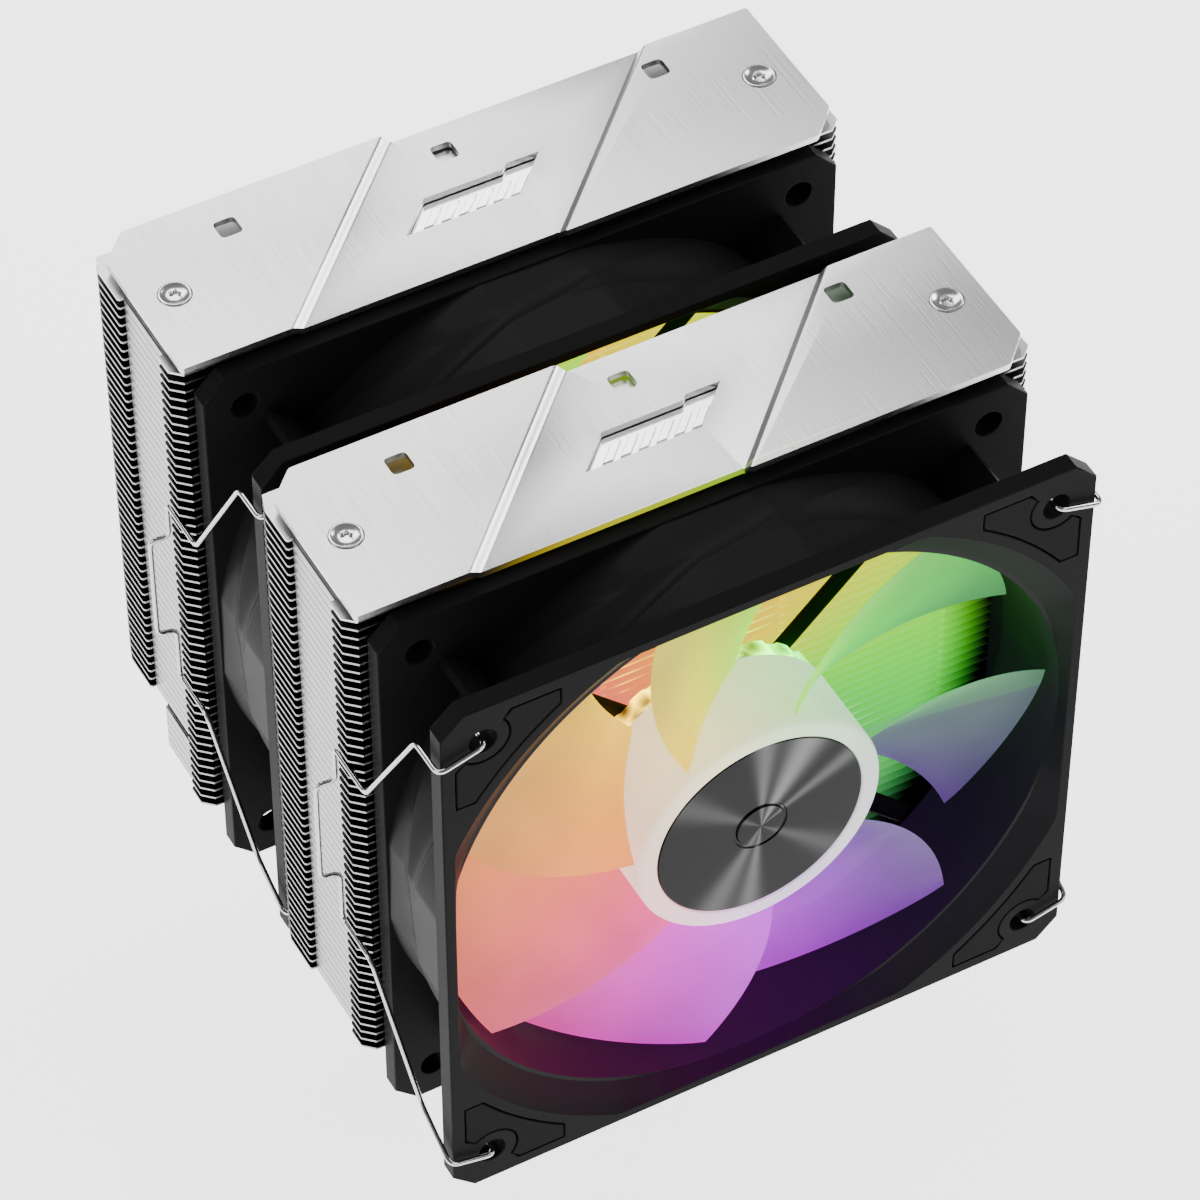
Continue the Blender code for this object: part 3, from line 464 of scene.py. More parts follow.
def from_axis(tree):
    """A point's x, y and z from the fans' axis, with the piece at rest."""
    place = add(tree, "TexCoord").outputs["Object"]
    centred = add(tree, "Mapping", Vector=place, Location=(0, 0, -FAN_Z)).outputs["Vector"]
    return add(tree, "SeparateXYZ", Vector=centred).outputs


def around_fan(tree, turned=0.0):
    """The lights' colour at a point, its radius from the fans' axis and its y.

    The colour is looked up at share = (atan2(z, x) / 2 pi + turned) mod 1.
    """
    x, y, z = from_axis(tree)
    share = maths(tree, "DIVIDE", maths(tree, "ARCTAN2", z, x), 2 * math.pi)
    share = maths(tree, "FRACT", maths(tree, "ADD", share, 1.0 + turned))
    colours = add(tree, "ValToRGB", Fac=share)
    ramp = colours.color_ramp
    ramp.interpolation = "B_SPLINE"
    for position, _ in GLOW[1:-1]:
        ramp.elements.new(position)
    for element, (position, colour) in zip(ramp.elements, GLOW):
        element.position = position
        element.color = (*colour, 1)
    squares = maths(tree, "ADD", maths(tree, "MULTIPLY", x, x), maths(tree, "MULTIPLY", z, z))
    return colours.outputs["Color"], maths(tree, "SQRT", squares), y


def fade(tree, value, start, end, high, low):
    """A smoothstep of the value, from high at start to low at end."""
    ramp = add(tree, "MapRange", Value=value, From_Min=start, From_Max=end, To_Min=high, To_Max=low)
    ramp.interpolation_type = "SMOOTHSTEP"
    return ramp.outputs["Result"]


def glow(tree, colour, strength):
    """Makes a finish give off light."""
    linked(tree, tree.nodes["Principled BSDF"], Emission_Color=colour, Emission_Strength=strength)


def recolour(look, factor, other, blend):
    """Blends a colour into a finish's own colour."""
    tree = look.node_tree
    shader = tree.nodes["Principled BSDF"]
    base = shader.inputs["Base Color"].links[0].from_socket
    linked(tree, shader, Base_Color=mixed(tree, factor, base, other, blend))


def facing(tree):
    """The parts of a face's normal, without bump."""
    return add(tree, "SeparateXYZ", Vector=add(tree, "NewGeometry").outputs["True Normal"]).outputs


def catch_light(look, strength, faces, deep, rim=(46 * MM, 59 * MM), turned=0.0):
    """Paints the fans' light into a finish as a glow.

    It is strongest at the y of the given faces, gone deep behind them, and fades out between the
    two radii of the rim.
    """
    tree = look.node_tree
    colour, reach, y = around_fan(tree, turned)
    total = 0.0
    for face in faces:
        away = maths(tree, "ABSOLUTE", maths(tree, "SUBTRACT", y, face))
        total = maths(tree, "MAXIMUM", total, fade(tree, away, 0.0, deep, 1.0, 0.0))
    disc = fade(tree, reach, *rim, strength, 0.0)
    glow(tree, colour, maths(tree, "MULTIPLY", disc, total))


def light_inside(look, strength, rim=(60 * MM, 67 * MM)):
    """Paints the fans' light onto the surfaces that face their axis, as a glow: strength * max(0, -(n . r)
    / |r|).
    """
    tree = look.node_tree
    colour, reach, _ = around_fan(tree)
    x, _, z = from_axis(tree)
    across, _, up = facing(tree)
    outward = maths(tree, "ADD", maths(tree, "MULTIPLY", across, x), maths(tree, "MULTIPLY", up, z))
    inward = maths(tree, "DIVIDE", maths(tree, "MULTIPLY", outward, -1.0), reach)
    disc = fade(tree, reach, *rim, strength, 0.0)
    glow(tree, colour, maths(tree, "MULTIPLY", disc, maths(tree, "MAXIMUM", inward, 0.0)))


def painted_shade_on_flats(look, share):
    """Paints shade into a finish: multiplies its colour by the share where the surface faces up or down.
    """
    upright = maths(look.node_tree, "ABSOLUTE", facing(look.node_tree)["Z"])
    recolour(look, upright, (share, share, share, 1), "MULTIPLY")


# The stacked fins get a darker colour than the top fin of the same aluminium, as painted shade between the
# fins; the top fin is the lit copy.
fin_metal = surface("fin aluminium", (0.34, 0.345, 0.35), 1.0, 0.30, grain=(0.1, 1, 1), scale=2500,
                    spread=0.06, rough_spread=0.1, bump=0.15)
top_metal = surface("top fin aluminium", (0.62, 0.625, 0.63), 1.0, 0.32, grain=(0.1, 1, 1), scale=2500,
                    spread=0.06, rough_spread=0.1, bump=0.15)
lit_faces = [TOWERS["front"] + FIN_Y[0], TOWERS["front"] + FIN_Y[1], TOWERS["rear"] + FIN_Y[0]]
# Painted shade: the fins' upper and lower faces are darkened, standing in for the shade in the gaps
# between them.
painted_shade_on_flats(fin_metal, 0.22)
# Painted light: the fins and top fins glow with the fans' colours near the fan faces, standing in for the
# light the lit rotors spill onto them.
catch_light(fin_metal, 1.5, lit_faces, 7 * MM, turned=0.17)
catch_light(top_metal, 0.35, lit_faces[:2], 13 * MM, (62 * MM, 78 * MM))
wall_metal = surface("fold aluminium", (0.38, 0.38, 0.385), 1.0, 0.36, grain=(1, 1, 0.1), scale=2500,
                     spread=0.05, rough_spread=0.1, bump=0.2)
top = FIN_BOTTOM + (FIN_COUNT - 1) * FIN_PITCH
for tower in TOWERS:
    levels = [FIN_BOTTOM + k * FIN_PITCH for k in range(FIN_COUNT - 1)]
    fins = [fin(tower, z, tower == "rear" and z < SHORT_BELOW - MM) for z in levels]
    make(f"fins_{tower}", joined(fins), fin_metal, "fin_aluminium", stands_for=[f"fin_stack_{tower}"])
    make(f"top_fin_{tower}", fin(tower, top, False), top_metal, "fin_aluminium")
    full_low = SHORT_BELOW if tower == "rear" else FIN_BOTTOM
    walls = [folded_wall(tower, sign, full_low, top, WALL_Y[1]) for sign in (-1, 1)]
    if tower == "rear":
        walls += [folded_wall(tower, sign, FIN_BOTTOM, SHORT_BELOW - FIN_PITCH, SHORT_BACK)
                  for sign in (-1, 1)]
    make(f"fold_walls_{tower}", joined(walls), wall_metal, "fin_aluminium")
    columns = [link_ribbon(tower, x, FIN_Y[0] + 0.4 * MM, FIN_BOTTOM, top) for x in TAB_X]
    columns += [link_ribbon(tower, x, FIN_Y[1] - 1.4 * MM, full_low, top) for x in TAB_X]
    make(f"fin_lock_tabs_{tower}", joined(columns), fin_metal, "fin_aluminium")

# ---------------- top covers
# A 1.2 mm aluminium sheet, brushed and clear coated, is folded twice on the slant so that its
# middle lies lower. It has three small holes and a slanted window, and is screwed to the fins.

COVER_TOP = 157.1 * MM
COVER_SHEET = 1.2 * MM
COVER_DROP = 1.07 * MM
FOLD_LEFT = (-26.0 * MM, -23.2 * MM)
FOLD_RIGHT = (24.2 * MM, 26.0 * MM)
SCREW_X = 55.5 * MM
HOLE_Y = 10.1 * MM
HOLE_X = (-40.8 * MM, 0, 40.8 * MM)


def arc_points(centre, radius, start, end, steps):
    """Points on an arc from one angle to another, in degrees."""
    t = np.radians(np.linspace(start, end, steps))
    return np.column_stack([centre[0] + radius * np.cos(t), centre[1] + radius * np.sin(t)])


def rounded_loop(corners, radius, steps=5):
    """A closed outline with every corner replaced by a bend."""
    corners = np.array(corners, float)
    threes = zip(np.roll(corners, 1, 0), corners, np.roll(corners, -1, 0))
    return np.concatenate([bend(*three, radius, 0.45, steps) for three in threes])


def filled(loops, creases=()):
    """Triangles of the flat region inside an odd number of the loops.

    The creases are open lines that also become edges. Returns the points, the triangles, and for
    each point the loop that it came from, or -1 where lines cross.
    """
    lines = [*loops, *creases]
    points = np.concatenate(lines)
    marks = np.concatenate([np.full(len(line), k) for k, line in enumerate(lines)])
    edges, first = [], 0
    for k, line in enumerate(lines):
        ring = np.arange(len(line)) + first
        pairs = np.column_stack([ring, np.roll(ring, -1)])
        edges += (pairs if k < len(loops) else pairs[:-1]).tolist()
        first += len(line)
    made = delaunay_2d_cdt([Vector(p) for p in points.tolist()], edges, [], 0, 1e-9)
    flat = np.array([tuple(v) for v in made[0]])
    triangles = np.array(made[2])
    origin = np.array([marks[ids[0]] if ids else -1 for ids in made[3]])
    centres = flat[triangles].mean(1)
    crossings = np.zeros(len(centres), int)
    for loop in loops:
        a, b = loop[None], np.roll(loop, -1, 0)[None]
        y = centres[:, 1:2]
        straddles = (a[..., 1] > y) != (b[..., 1] > y)
        rise = np.where(straddles, b[..., 1] - a[..., 1], 1.0)
        x = a[..., 0] + (b[..., 0] - a[..., 0]) * (y - a[..., 1]) / rise
        crossings += (straddles & (centres[:, :1] < x)).sum(1)
    kept = triangles[crossings % 2 == 1]
    used, renumbered = np.unique(kept, return_inverse=True)
    return flat[used], renumbered.reshape(kept.shape), origin[used]


def sheet(upper, lower, triangles):
    """Both sides of a sheet, with a wall along each edge that only one triangle uses."""
    edges = np.concatenate([triangles[:, [0, 1]], triangles[:, [1, 2]], triangles[:, [2, 0]]])
    _, index, counts = np.unique(np.sort(edges, 1), axis=0, return_index=True, return_counts=True)
    rim = edges[index[counts == 1]]
    count = len(upper)
    walls = np.stack([rim[:, 0], rim[:, 1], rim[:, 1] + count, rim[:, 0] + count], -1)
    return np.concatenate([upper, lower]), [triangles, triangles[:, ::-1] + count, walls]


def plate(loops, low, high, middle=(0, 0)):
    """A flat plate of one outline, from a low to a high level."""
    flat, triangles, _ = filled(loops)
    flat = flat + np.array(middle)
    return sheet(*[np.column_stack([flat, np.full(len(flat), z)]) for z in (high, low)], triangles)


def cover_height(flat):
    """Level ends, and a middle lower by the drop between two 45-degree smoothstep folds."""
    across = flat[:, 0] - flat[:, 1]
    left = np.clip((across - FOLD_LEFT[0]) / (FOLD_LEFT[1] - FOLD_LEFT[0]), 0, 1)
    right = np.clip((FOLD_RIGHT[1] - across) / (FOLD_RIGHT[1] - FOLD_RIGHT[0]), 0, 1)
    slope = np.where(across < 0, left, right)
    return COVER_TOP - COVER_DROP * slope**2 * (3 - 2 * slope)


def window_loop(shrink):
    """The slanted window, whose back edge has one step."""
    front, step, back = -5.1 * MM + shrink, 1.6 * MM - shrink, 2.6 * MM - shrink
    left, right = -10.1 * MM + 1.4 * shrink, 11.5 * MM - 1.4 * shrink
    shoulder = 5 * MM + shrink
    corners = [(left + front, front), (right + front, front), (right + back, back),
               (shoulder + back, back), (shoulder + step, step), (left + step, step)]
    return rounded_loop(corners, 0.25 * MM, 3)


def cover_sheet(tower):
    """The sheet as a height over its flat outline, with the folds as creases."""
    x, short, long, cut = WALL_X, 16.4 * MM, 17.7 * MM, 5.3 * MM
    l0, l1 = FOLD_LEFT
    r0, r1 = FOLD_RIGHT
    outline = rounded_loop([(-x, -short), (r0 - short, -short), (r1 - long, -long), (x - cut, -long),
                            (x, cut - long), (x, short), (l1 + short, short), (l0 + long, long),
                            (cut - x, long), (-x, long - cut)], 0.5 * MM, 4)
    square = mm([(-2.05, -2.05), (2.05, -2.05), (2.05, 2.05), (-2.05, 2.05)])
    holes = [rounded_loop(square + np.array([x, HOLE_Y]), 1.0 * MM) for x in HOLE_X]
    bores = [arc_points((x, 0), 3.0 * MM, 0, 352.5, 48) for x in (-SCREW_X, SCREW_X)]
    reach = 20 * MM
    creases = [np.array([(across - reach, -reach), (across + reach, reach)])
               for fold in (FOLD_LEFT, FOLD_RIGHT) for across in np.linspace(*fold, 9)]
    flat, triangles, _ = filled([outline, *holes, *bores, window_loop(0)], creases)
    height = cover_height(flat)
    place = flat + np.array([0, TOWERS[tower]])
    return sheet(*[np.column_stack([place, z]) for z in (height, height - COVER_SHEET)], triangles)


brushed = surface("brushed cover", (0.66, 0.66, 0.66), 1.0, 0.30, grain=(1, 0.015, 1), scale=3500,
                  spread=0.09, rough_spread=0.16, bump=0.3, Anisotropic=0.5)
lit_brushed = brushed.copy()
lit_brushed.name = "brushed cover with a lit edge"
# Painted light: a glow in the fans' colours along the front cover's front edge.
catch_light(lit_brushed, 0.8, [TOWERS["front"] - 16.4 * MM], 0.35 * MM, (62 * MM, 74 * MM))
for tower, finish in (("front", lit_brushed), ("rear", brushed)):
    make(f"cover_sheet_{tower}", cover_sheet(tower), finish, "cover_aluminium",
         stands_for=[f"top_cover_{tower}"], sharp=50, bevel=0.15 * MM)

# ---------------- badge plates and cover screws
# A satin plate with a row of plain slanted ribs closes each window from below. Two dished,
# turned screws with a six-lobed recess hold each cover.

satin = surface("satin plate", (0.88, 0.88, 0.86), 1.0, 0.15, grain=(0.2, 1, 1), scale=6000, spread=0.05,
                bump=0.2)


def rib(x, y, width, depth, low, high, lean):
    """A slanted bar whose top is a little smaller than its foot, as a pressed rib is."""
    corner = np.array([(-1, -1), (1, -1), (1, 1), (-1, 1)], float)
    rings = []
    for shrink, z in ((1.0, low), (0.97, high - 0.1 * MM), (0.82, high)):
        v = corner[:, 1] * depth / 2 * (shrink + 1) / 2
        u = corner[:, 0] * width / 2 * shrink + v * lean
        rings.append(np.column_stack([x + u, y + v, np.full(4, z)]))
    return capped(np.stack(rings))


# Each screw's face is dished: over its way in, d from 0 to 1, it falls as 1 - (1 - d)^2.
dish = [(2.5 - 1.35 * d, -0.03 - 0.37 * (1 - (1 - d) ** 2)) for d in np.linspace(0, 1, 7)[1:]]
screw = mm([(0, -2.2), (1.4, -2.2), (1.5, -1.3), (2.75, -0.75), (2.9, -0.25), (2.82, -0.06), (2.65, 0),
            (2.5, -0.03), *dish, (1.05, -1.0), (0, -1.05)])
lobes = [0] * (len(screw) - 3) + [0.14, 0.14, 0]
low = top + FIN_SHEET
floor = low + 0.15 * MM
for tower, middle in TOWERS.items():
    ribs = [rib((-8.6 + 3.3 * k) * MM, middle - 2.1 * MM, 2.0 * MM, 3.4 * MM, floor - 0.05 * MM,
                floor + 0.35 * MM, 1.0) for k in range(6)]
    badge = joined([plate([window_loop(-0.6 * MM)], low, floor, (0, middle)), *ribs])
    part(f"badge_plate_{tower}", badge, satin, "badge_aluminium")
    for side, x in (("left", -SCREW_X), ("right", SCREW_X)):
        part(f"cover_screw_{tower}_{side}", lathe(screw, 72, (x, middle, COVER_TOP + 0.25 * MM), lobes),
             bright_steel, "screw_steel")

# ---------------- fan frames
# Each frame is one moulding in fine-grained black plastic: two square flanges on a round barrel
# whose outside carries shallow swept facets, with the motor's floor on four struts.

FLANGE = 3.7 * MM
HOLE = 52.5 * MM
BORE_R = 58.5 * MM
MOUTH_R = 64.3 * MM
MOUTH_FLAT = 58.0 * MM
ROUND = 240
BARREL_STEPS = (720, 64)
# Each swept facet: its middle and half width in degrees round the barrel, where its line starts
# and how far that bows across the barrel, its width and its depth in millimetres.
FACETS = ((62, 26, 17.5, -7.0, 2.6, 0.9), (88, 30, 12.5, 5.0, 3.2, 0.8), (108, 24, 17.0, 6.0, 2.2, 0.9),
          (122, 22, 9.0, -5.0, 2.4, 0.7))


def stood(shape, fan):
    """A shape drawn about its axis, from the outlet at 0 to the intake at 25 mm, put in place."""
    points, groups = shape
    points = np.asarray(points, float).reshape(-1, 3)
    place = np.column_stack([points[:, 0], OUTLETS[fan] - points[:, 2], FAN_Z + points[:, 1]])
    return place, groups


def squared(radius, flat, turn):
    """r(t) = min(radius, flat / max(|cos t|, |sin t|))."""
    return np.minimum(radius, flat / np.maximum(np.abs(np.cos(turn)), np.abs(np.sin(turn))))


def polar_loop(radius, turn):
    """P(t) = (r cos t, r sin t)."""
    return np.column_stack([radius * np.cos(turn), radius * np.sin(turn)])


def quarter_turned(loop, quarters):
    """The loop turned about the origin by a number of quarter turns."""
    for _ in range(quarters):
        loop = np.column_stack([-loop[:, 1], loop[:, 0]])
    return loop


def spun(x, y, z, quarters, start=0.0):
    """P = (x cos a - y sin a, x sin a + y cos a, z), a number of quarter turns from the start."""
    a = start + quarters * math.pi / 2
    x, y, z = np.broadcast_arrays(x, y, z)
    return np.stack([x * math.cos(a) - y * math.sin(a), x * math.sin(a) + y * math.cos(a), z], -1)


def pad_loop(grow):
    """The corner pad of the first quadrant, symmetric about the diagonal."""
    edge, reach, inner, boss = 57.3 * MM + grow, 38.8 * MM - grow, 66.6 * MM - grow, 5.0 * MM - grow
    neck = edge - 10.1 * MM
    start = math.degrees(math.acos(reach / inner))
    return np.concatenate([arc_points((0, 0), inner, 90 - start, start, 12), [(reach, edge), (neck, edge)],
                           arc_points((HOLE, HOLE), boss, 139, 311, 14), [(edge, neck), (edge, reach)]])


def flange(inner, outer, pads):
    """A square plate with a tapered round opening, corner holes and, outside, the pads' recesses."""
    turn = whole_turn(ROUND) + math.pi / ROUND
    half, cut = 60 * MM, 4.1 * MM
    corners = [(half - cut, -half), (half, cut - half), (half, half - cut), (half - cut, half),
               (cut - half, half), (-half, half - cut), (-half, cut - half), (cut - half, -half)]
    loops = [np.array(corners), polar_loop(squared(MOUTH_R, MOUTH_FLAT, turn), turn)]
    loops += [arc_points((sx * HOLE, sy * HOLE), 2.5 * MM, 0, 345, 24) for sx in (-1, 1) for sy in (-1, 1)]
    creases = []
    for quarters in range(4 if pads else 0):
        for grow in (0.3 * MM, 0.28 * MM):
            loop = quarter_turned(pad_loop(grow), quarters)
            creases.append(np.concatenate([loop, loop[:1]]))
    flat, triangles, origin = filled(loops, creases)
    level = np.full(len(flat), outer)
    recessed = (origin >= len(loops)) & ((origin - len(loops)) % 2 == 1)
    level[recessed] = outer + math.copysign(1.3 * MM, inner - outer)
    below = flat.copy()
    mouth = origin == 1
    angle = np.arctan2(flat[mouth, 1], flat[mouth, 0])
    below[mouth] = polar_loop(BORE_R, angle)
    return sheet(np.column_stack([flat, level]), np.column_stack([below, np.full(len(flat), inner)]),
                 triangles)


def swept_facets(turn, depth):
    """Shallow leaf-shaped cuts in the barrel's outside.

    Each leaf follows a curved line across the barrel. Its depth rises steeply from the line and
    fades over its width: cut = height * (1 - s^2) * q * exp(1 - q) for q > 0, else 0.
    """
    cut = np.zeros(np.broadcast(turn, depth).shape)
    for quarter in range(4):
        for centre, half, start, bow, width, height in FACETS:
            middle = math.radians(centre + 90 * quarter)
            s = (np.mod(turn - middle + math.pi, 2 * math.pi) - math.pi) / math.radians(half)
            line = (start + bow * s * (1 - 0.4 * s)) * MM
            q = np.clip((line - depth) / (width * MM * (1.05 - 0.6 * s * s).clip(0.2)), 0, 6)
            leaf = height * MM * np.clip(1 - s * s, 0, 1) * q * np.exp(1 - q)
            cut = np.maximum(cut, leaf)
    return cut


def barrel():
    """A closed ring P(t, d): bore inside, and outside the squared circle less the swept facets."""
    steps, across = BARREL_STEPS
    turn = whole_turn(steps)[:, None]
    d = np.linspace(FLANGE - 0.5 * MM, FAN_DEPTH - FLANGE + 0.5 * MM, across)[None]
    outer = squared(60.6 * MM, 59.9 * MM, turn) - swept_facets(turn, d)
    radius = np.concatenate([outer, np.full((steps, 3), BORE_R)], 1)
    depth = np.broadcast_to(np.concatenate([d, d[:, [-1, across // 2, 0]]], 1), radius.shape)
    return around(radius, turn, depth), [grid_faces(*radius.shape, close_rows=True, close_columns=True)]


def corner_rib(quarters):
    """A thin gusset from the barrel towards the corner hole, narrower at its outer end."""
    out, half = mm([60, 64, 69.5])[:, None], mm([0.8, 0.7, 0.6])[:, None]
    low, high = FLANGE - 0.2 * MM, FAN_DEPTH - FLANGE + 0.2 * MM
    return capped(spun(out, half * np.array([-1, 1, 1, -1]), np.array([low, low, high, high]), quarters,
                         math.pi / 4))


def strut(quarters):
    """A motor strut: an elliptic section carried outwards, P(u, t) = (u, a cos t, c + b sin t)."""
    u = np.linspace(18 * MM, 62.5 * MM, 12)[:, None]
    t = whole_turn(16)[None]
    return capped(spun(u, 2.0 * MM * np.cos(t), 1.4 * MM + 0.85 * MM * np.sin(t), quarters, math.pi / 4))


grained = surface("grained black plastic", (0.010, 0.010, 0.0105), 0.0, 0.38, scale=3200, spread=0.3,
                  rough_spread=0.16, bump=0.5, depth=0.00006, Specular_IOR_Level=0.012)
barrel_plastic = surface("smooth black plastic", (0.012, 0.012, 0.0125), 0.0, 0.36, scale=3200, spread=0.3,
                         rough_spread=0.12, bump=0.35, depth=0.00005, Specular_IOR_Level=0.03)
pad_rubber = surface("pad rubber", (0.009, 0.009, 0.009), 0.0, 0.5, scale=2600, spread=0.3,
                     rough_spread=0.1, bump=0.35, depth=0.00005, Specular_IOR_Level=0.012)
# Painted light: the frames' inner faces glow with the fans' colours, standing in for the light from the
# lit rotors.
light_inside(grained, 0.035)
light_inside(barrel_plastic, 0.05)
moulded = "frame_plastic"
floor_plate = lathe(mm([(0, 0.4), (19.4, 0.4), (20, 0.8), (20, 1.8), (19.8, 2), (0, 2)]), 96)
spider = joined([floor_plate, *[strut(k) for k in range(4)], *[corner_rib(k) for k in range(4)]])
for fan in OUTLETS:
    front, back = flange(FAN_DEPTH - FLANGE, FAN_DEPTH, True), flange(FLANGE, 0, False)
    make(f"fan_{fan}_intake_flange", stood(front, fan), grained, moulded,
         stands_for=[f"fan_{fan}_frame"], sharp=28, bevel=0.25 * MM)
    make(f"fan_{fan}_outlet_flange", stood(back, fan), grained, moulded, sharp=28, bevel=0.25 * MM)
    make(f"fan_{fan}_barrel", stood(barrel(), fan), barrel_plastic, moulded, sharp=50)
    make(f"fan_{fan}_spider", stood(spider, fan), grained, moulded)
    for quarters, corner in enumerate(("upper_right", "upper_left", "lower_left", "lower_right")):
        pad = plate([quarter_turned(pad_loop(0), quarters)], FAN_DEPTH - 1.2 * MM, FAN_DEPTH + 0.02 * MM)
        part(f"fan_{fan}_pad_{corner}", stood(pad, fan), pad_rubber, "pad_rubber", bevel=0.2 * MM)

# ---------------- fan motors
# On the motor's floor stand a small green circuit board with its lights, a sintered bearing and
# the stator, four copper coils on an iron core. They stand still while the hub turns round them.

board_look = surface("solder mask", (0.02, 0.13, 0.05), 0.0, 0.35, scale=800, spread=0.2, bump=0.1)
copper = surface("enamelled copper", (0.72, 0.36, 0.16), 1.0, 0.3, scale=3000, spread=0.15, bump=0.5,
                 depth=0.0001)
brass = surface("sintered brass", (0.72, 0.56, 0.28), 1.0, 0.4, scale=4000, spread=0.15, bump=0.4)
RING_STEPS = 216


def coil(quarters):
    """A rounded winding on one pole: P(s, t), a superellipse tube round the pole's neck."""
    s = whole_turn(28)[:, None]
    t = whole_turn(10)[None]
    fat = 0.9 * MM * np.cos(t)
    across = 2.9 * MM * np.sign(np.cos(s)) * np.abs(np.cos(s)) ** 0.6 + fat * np.cos(s)
    along = 4.4 * MM * np.sign(np.sin(s)) * np.abs(np.sin(s)) ** 0.6 + fat * np.sin(s)
    points = spun(10.5 * MM + 1.8 * MM * np.sin(t), across, 10 * MM + along, quarters)
    return points, [grid_faces(28, 10, True, True)]


board = lathe(mm([(3.9, 2.3), (19, 2.3), (19, 3.5), (3.9, 3.5)]), 64)
sleeve = lathe(mm([(1.8, 2.3), (3.4, 2.3), (3.5, 2.5), (3.5, 15.8), (3.3, 16), (1.8, 16)]), 40)
core = lathe(mm([(4, 6), (8, 6), (8, 14), (4, 14)]), 40)
for fan in OUTLETS:
    part(f"fan_{fan}_circuit_board", stood(board, fan), board_look, "board_laminate")
    part(f"fan_{fan}_bearing", stood(sleeve, fan), brass, "bearing_brass")
    part(f"fan_{fan}_stator", stood(joined([core, *[coil(k) for k in range(4)]]), fan), copper,
         "stator_copper")

# A clear toothed ring round the board spreads the lights' colours under the hub.
light_ring = surface("lit clear ring", (0.3, 0.3, 0.3), 0.0, 0.12, scale=900, spread=0.05, bump=0.4,
                     IOR=1.49, Specular_IOR_Level=0.6)
tree = light_ring.node_tree
sparkle = add(tree, "TexVoronoi", Scale=260.0, Vector=add(tree, "TexCoord").outputs["Object"])
sparkle = maths(tree, "POWER", sparkle.outputs["Distance"], 2.0)
glow(tree, around_fan(tree)[0], maths(tree, "MULTIPLY", sparkle, 14.0))
ring, faces = lathe(mm([(19.4, 2.2), (22.4, 2.2), (22.6, 5.2), (19.4, 5.2)]), RING_STEPS)
t = whole_turn(RING_STEPS)
teeth = 0.55 * MM * (np.mod(np.arange(RING_STEPS), 9) < 5)
ring[1:3, :, 0] += teeth * np.cos(t)
ring[1:3, :, 1] += teeth * np.sin(t)
for fan in OUTLETS:
    make(f"fan_{fan}_light_ring", stood((ring, faces), fan), light_ring, "frosted_plastic")

# ---------------- fan rotors
# Hub and blades are one moulding in frosted, translucent plastic, lit from inside by coloured
# lights round the motor. A black spun cap is set into the hub's front.

HUB_R = 23.2 * MM
CAP_R = 19.5 * MM
HUB_FRONT = 22.6 * MM
HUB_BACK = 6.0 * MM
CAP_SHEET = 0.9 * MM
BLADES = 7
BLADE_TIP = 57.2 * MM
BLADE_SPAN = (6.5 * MM, 21.0 * MM)


def blade(turn):
    """A twisted blade P(i, j): radius from i, angle and height from j, with a thin rounded edge."""
    rows, columns = 30, 20
    along = np.linspace(0, 1, rows)[:, None]
    across = np.linspace(-0.5, 0.5, columns)[None]
    root = HUB_R - 0.8 * MM
    radius = root + (BLADE_TIP - root) * along + 0 * across
    chord = np.radians(44 - 2 * along)
    angle = turn + chord * across - math.radians(16) * along**1.5
    low, high = BLADE_SPAN
    depth = (high - low) * (1 - 0.25 * along)
    height = (high + low) / 2 + depth * (across + 0.25 * (across**2 - 0.25))
    edge = np.clip(1 - (2 * across) ** 6, 0, 1) * np.clip(1 - (along - 0.02) ** 14, 0, 1)
    thick = np.maximum(0.6 * MM * np.sqrt(edge), 0.05 * MM)
    return slab(*[around(radius, angle, height + side) for side in (thick, -thick)])


def lit_plastic(name, base, white, near, far, alpha, roughness):
    """Frosted plastic lit from its hub: the glow runs from near at the hub to far at the tips.

    white is the share of white mixed into the lights' colours.
    """
    look = surface(name, base, 0.0, roughness, scale=3500, spread=0.02, bump=0.2, depth=0.00004, IOR=1.49,
                   Alpha=alpha, Specular_IOR_Level=0.12)
    tree = look.node_tree
    colour, reach, _ = around_fan(tree)
    cloud = add(tree, "TexNoise", Scale=55.0, Vector=add(tree, "TexCoord").outputs["Object"])
    uneven = maths(tree, "ADD", maths(tree, "MULTIPLY", cloud.outputs["Fac"], 0.7), 0.65)
    strength = maths(tree, "MULTIPLY", fade(tree, reach, HUB_R, BLADE_TIP, near, far), uneven)
    glow(tree, mixed(tree, white, colour, (0.8, 0.8, 0.76, 1)), strength)
    return look


cap_metal = surface("spun black cap", (0.003, 0.003, 0.0033), 1.0, 0.24, scale=300, spread=0.1,
                    rough_spread=0.04, bump=0.02, Anisotropic=0.85)


def painted_highlight_fans(look, highlights):
    """Paints the highlight fans of a spun face into its colour: colour += level * max(0, cos(angle -
    middle))^power.
    """
    tree = look.node_tree
    x, _, z = from_axis(tree)
    turn = maths(tree, "ARCTAN2", z, x)
    total = 0.0
    for middle, power, level in highlights:
        across = maths(tree, "COSINE", maths(tree, "SUBTRACT", turn, math.radians(middle)))
        lobe = maths(tree, "POWER", maths(tree, "MAXIMUM", across, 0.0), power)
        total = maths(tree, "ADD", total, maths(tree, "MULTIPLY", lobe, level))
    recolour(look, 1.0, total, "ADD")


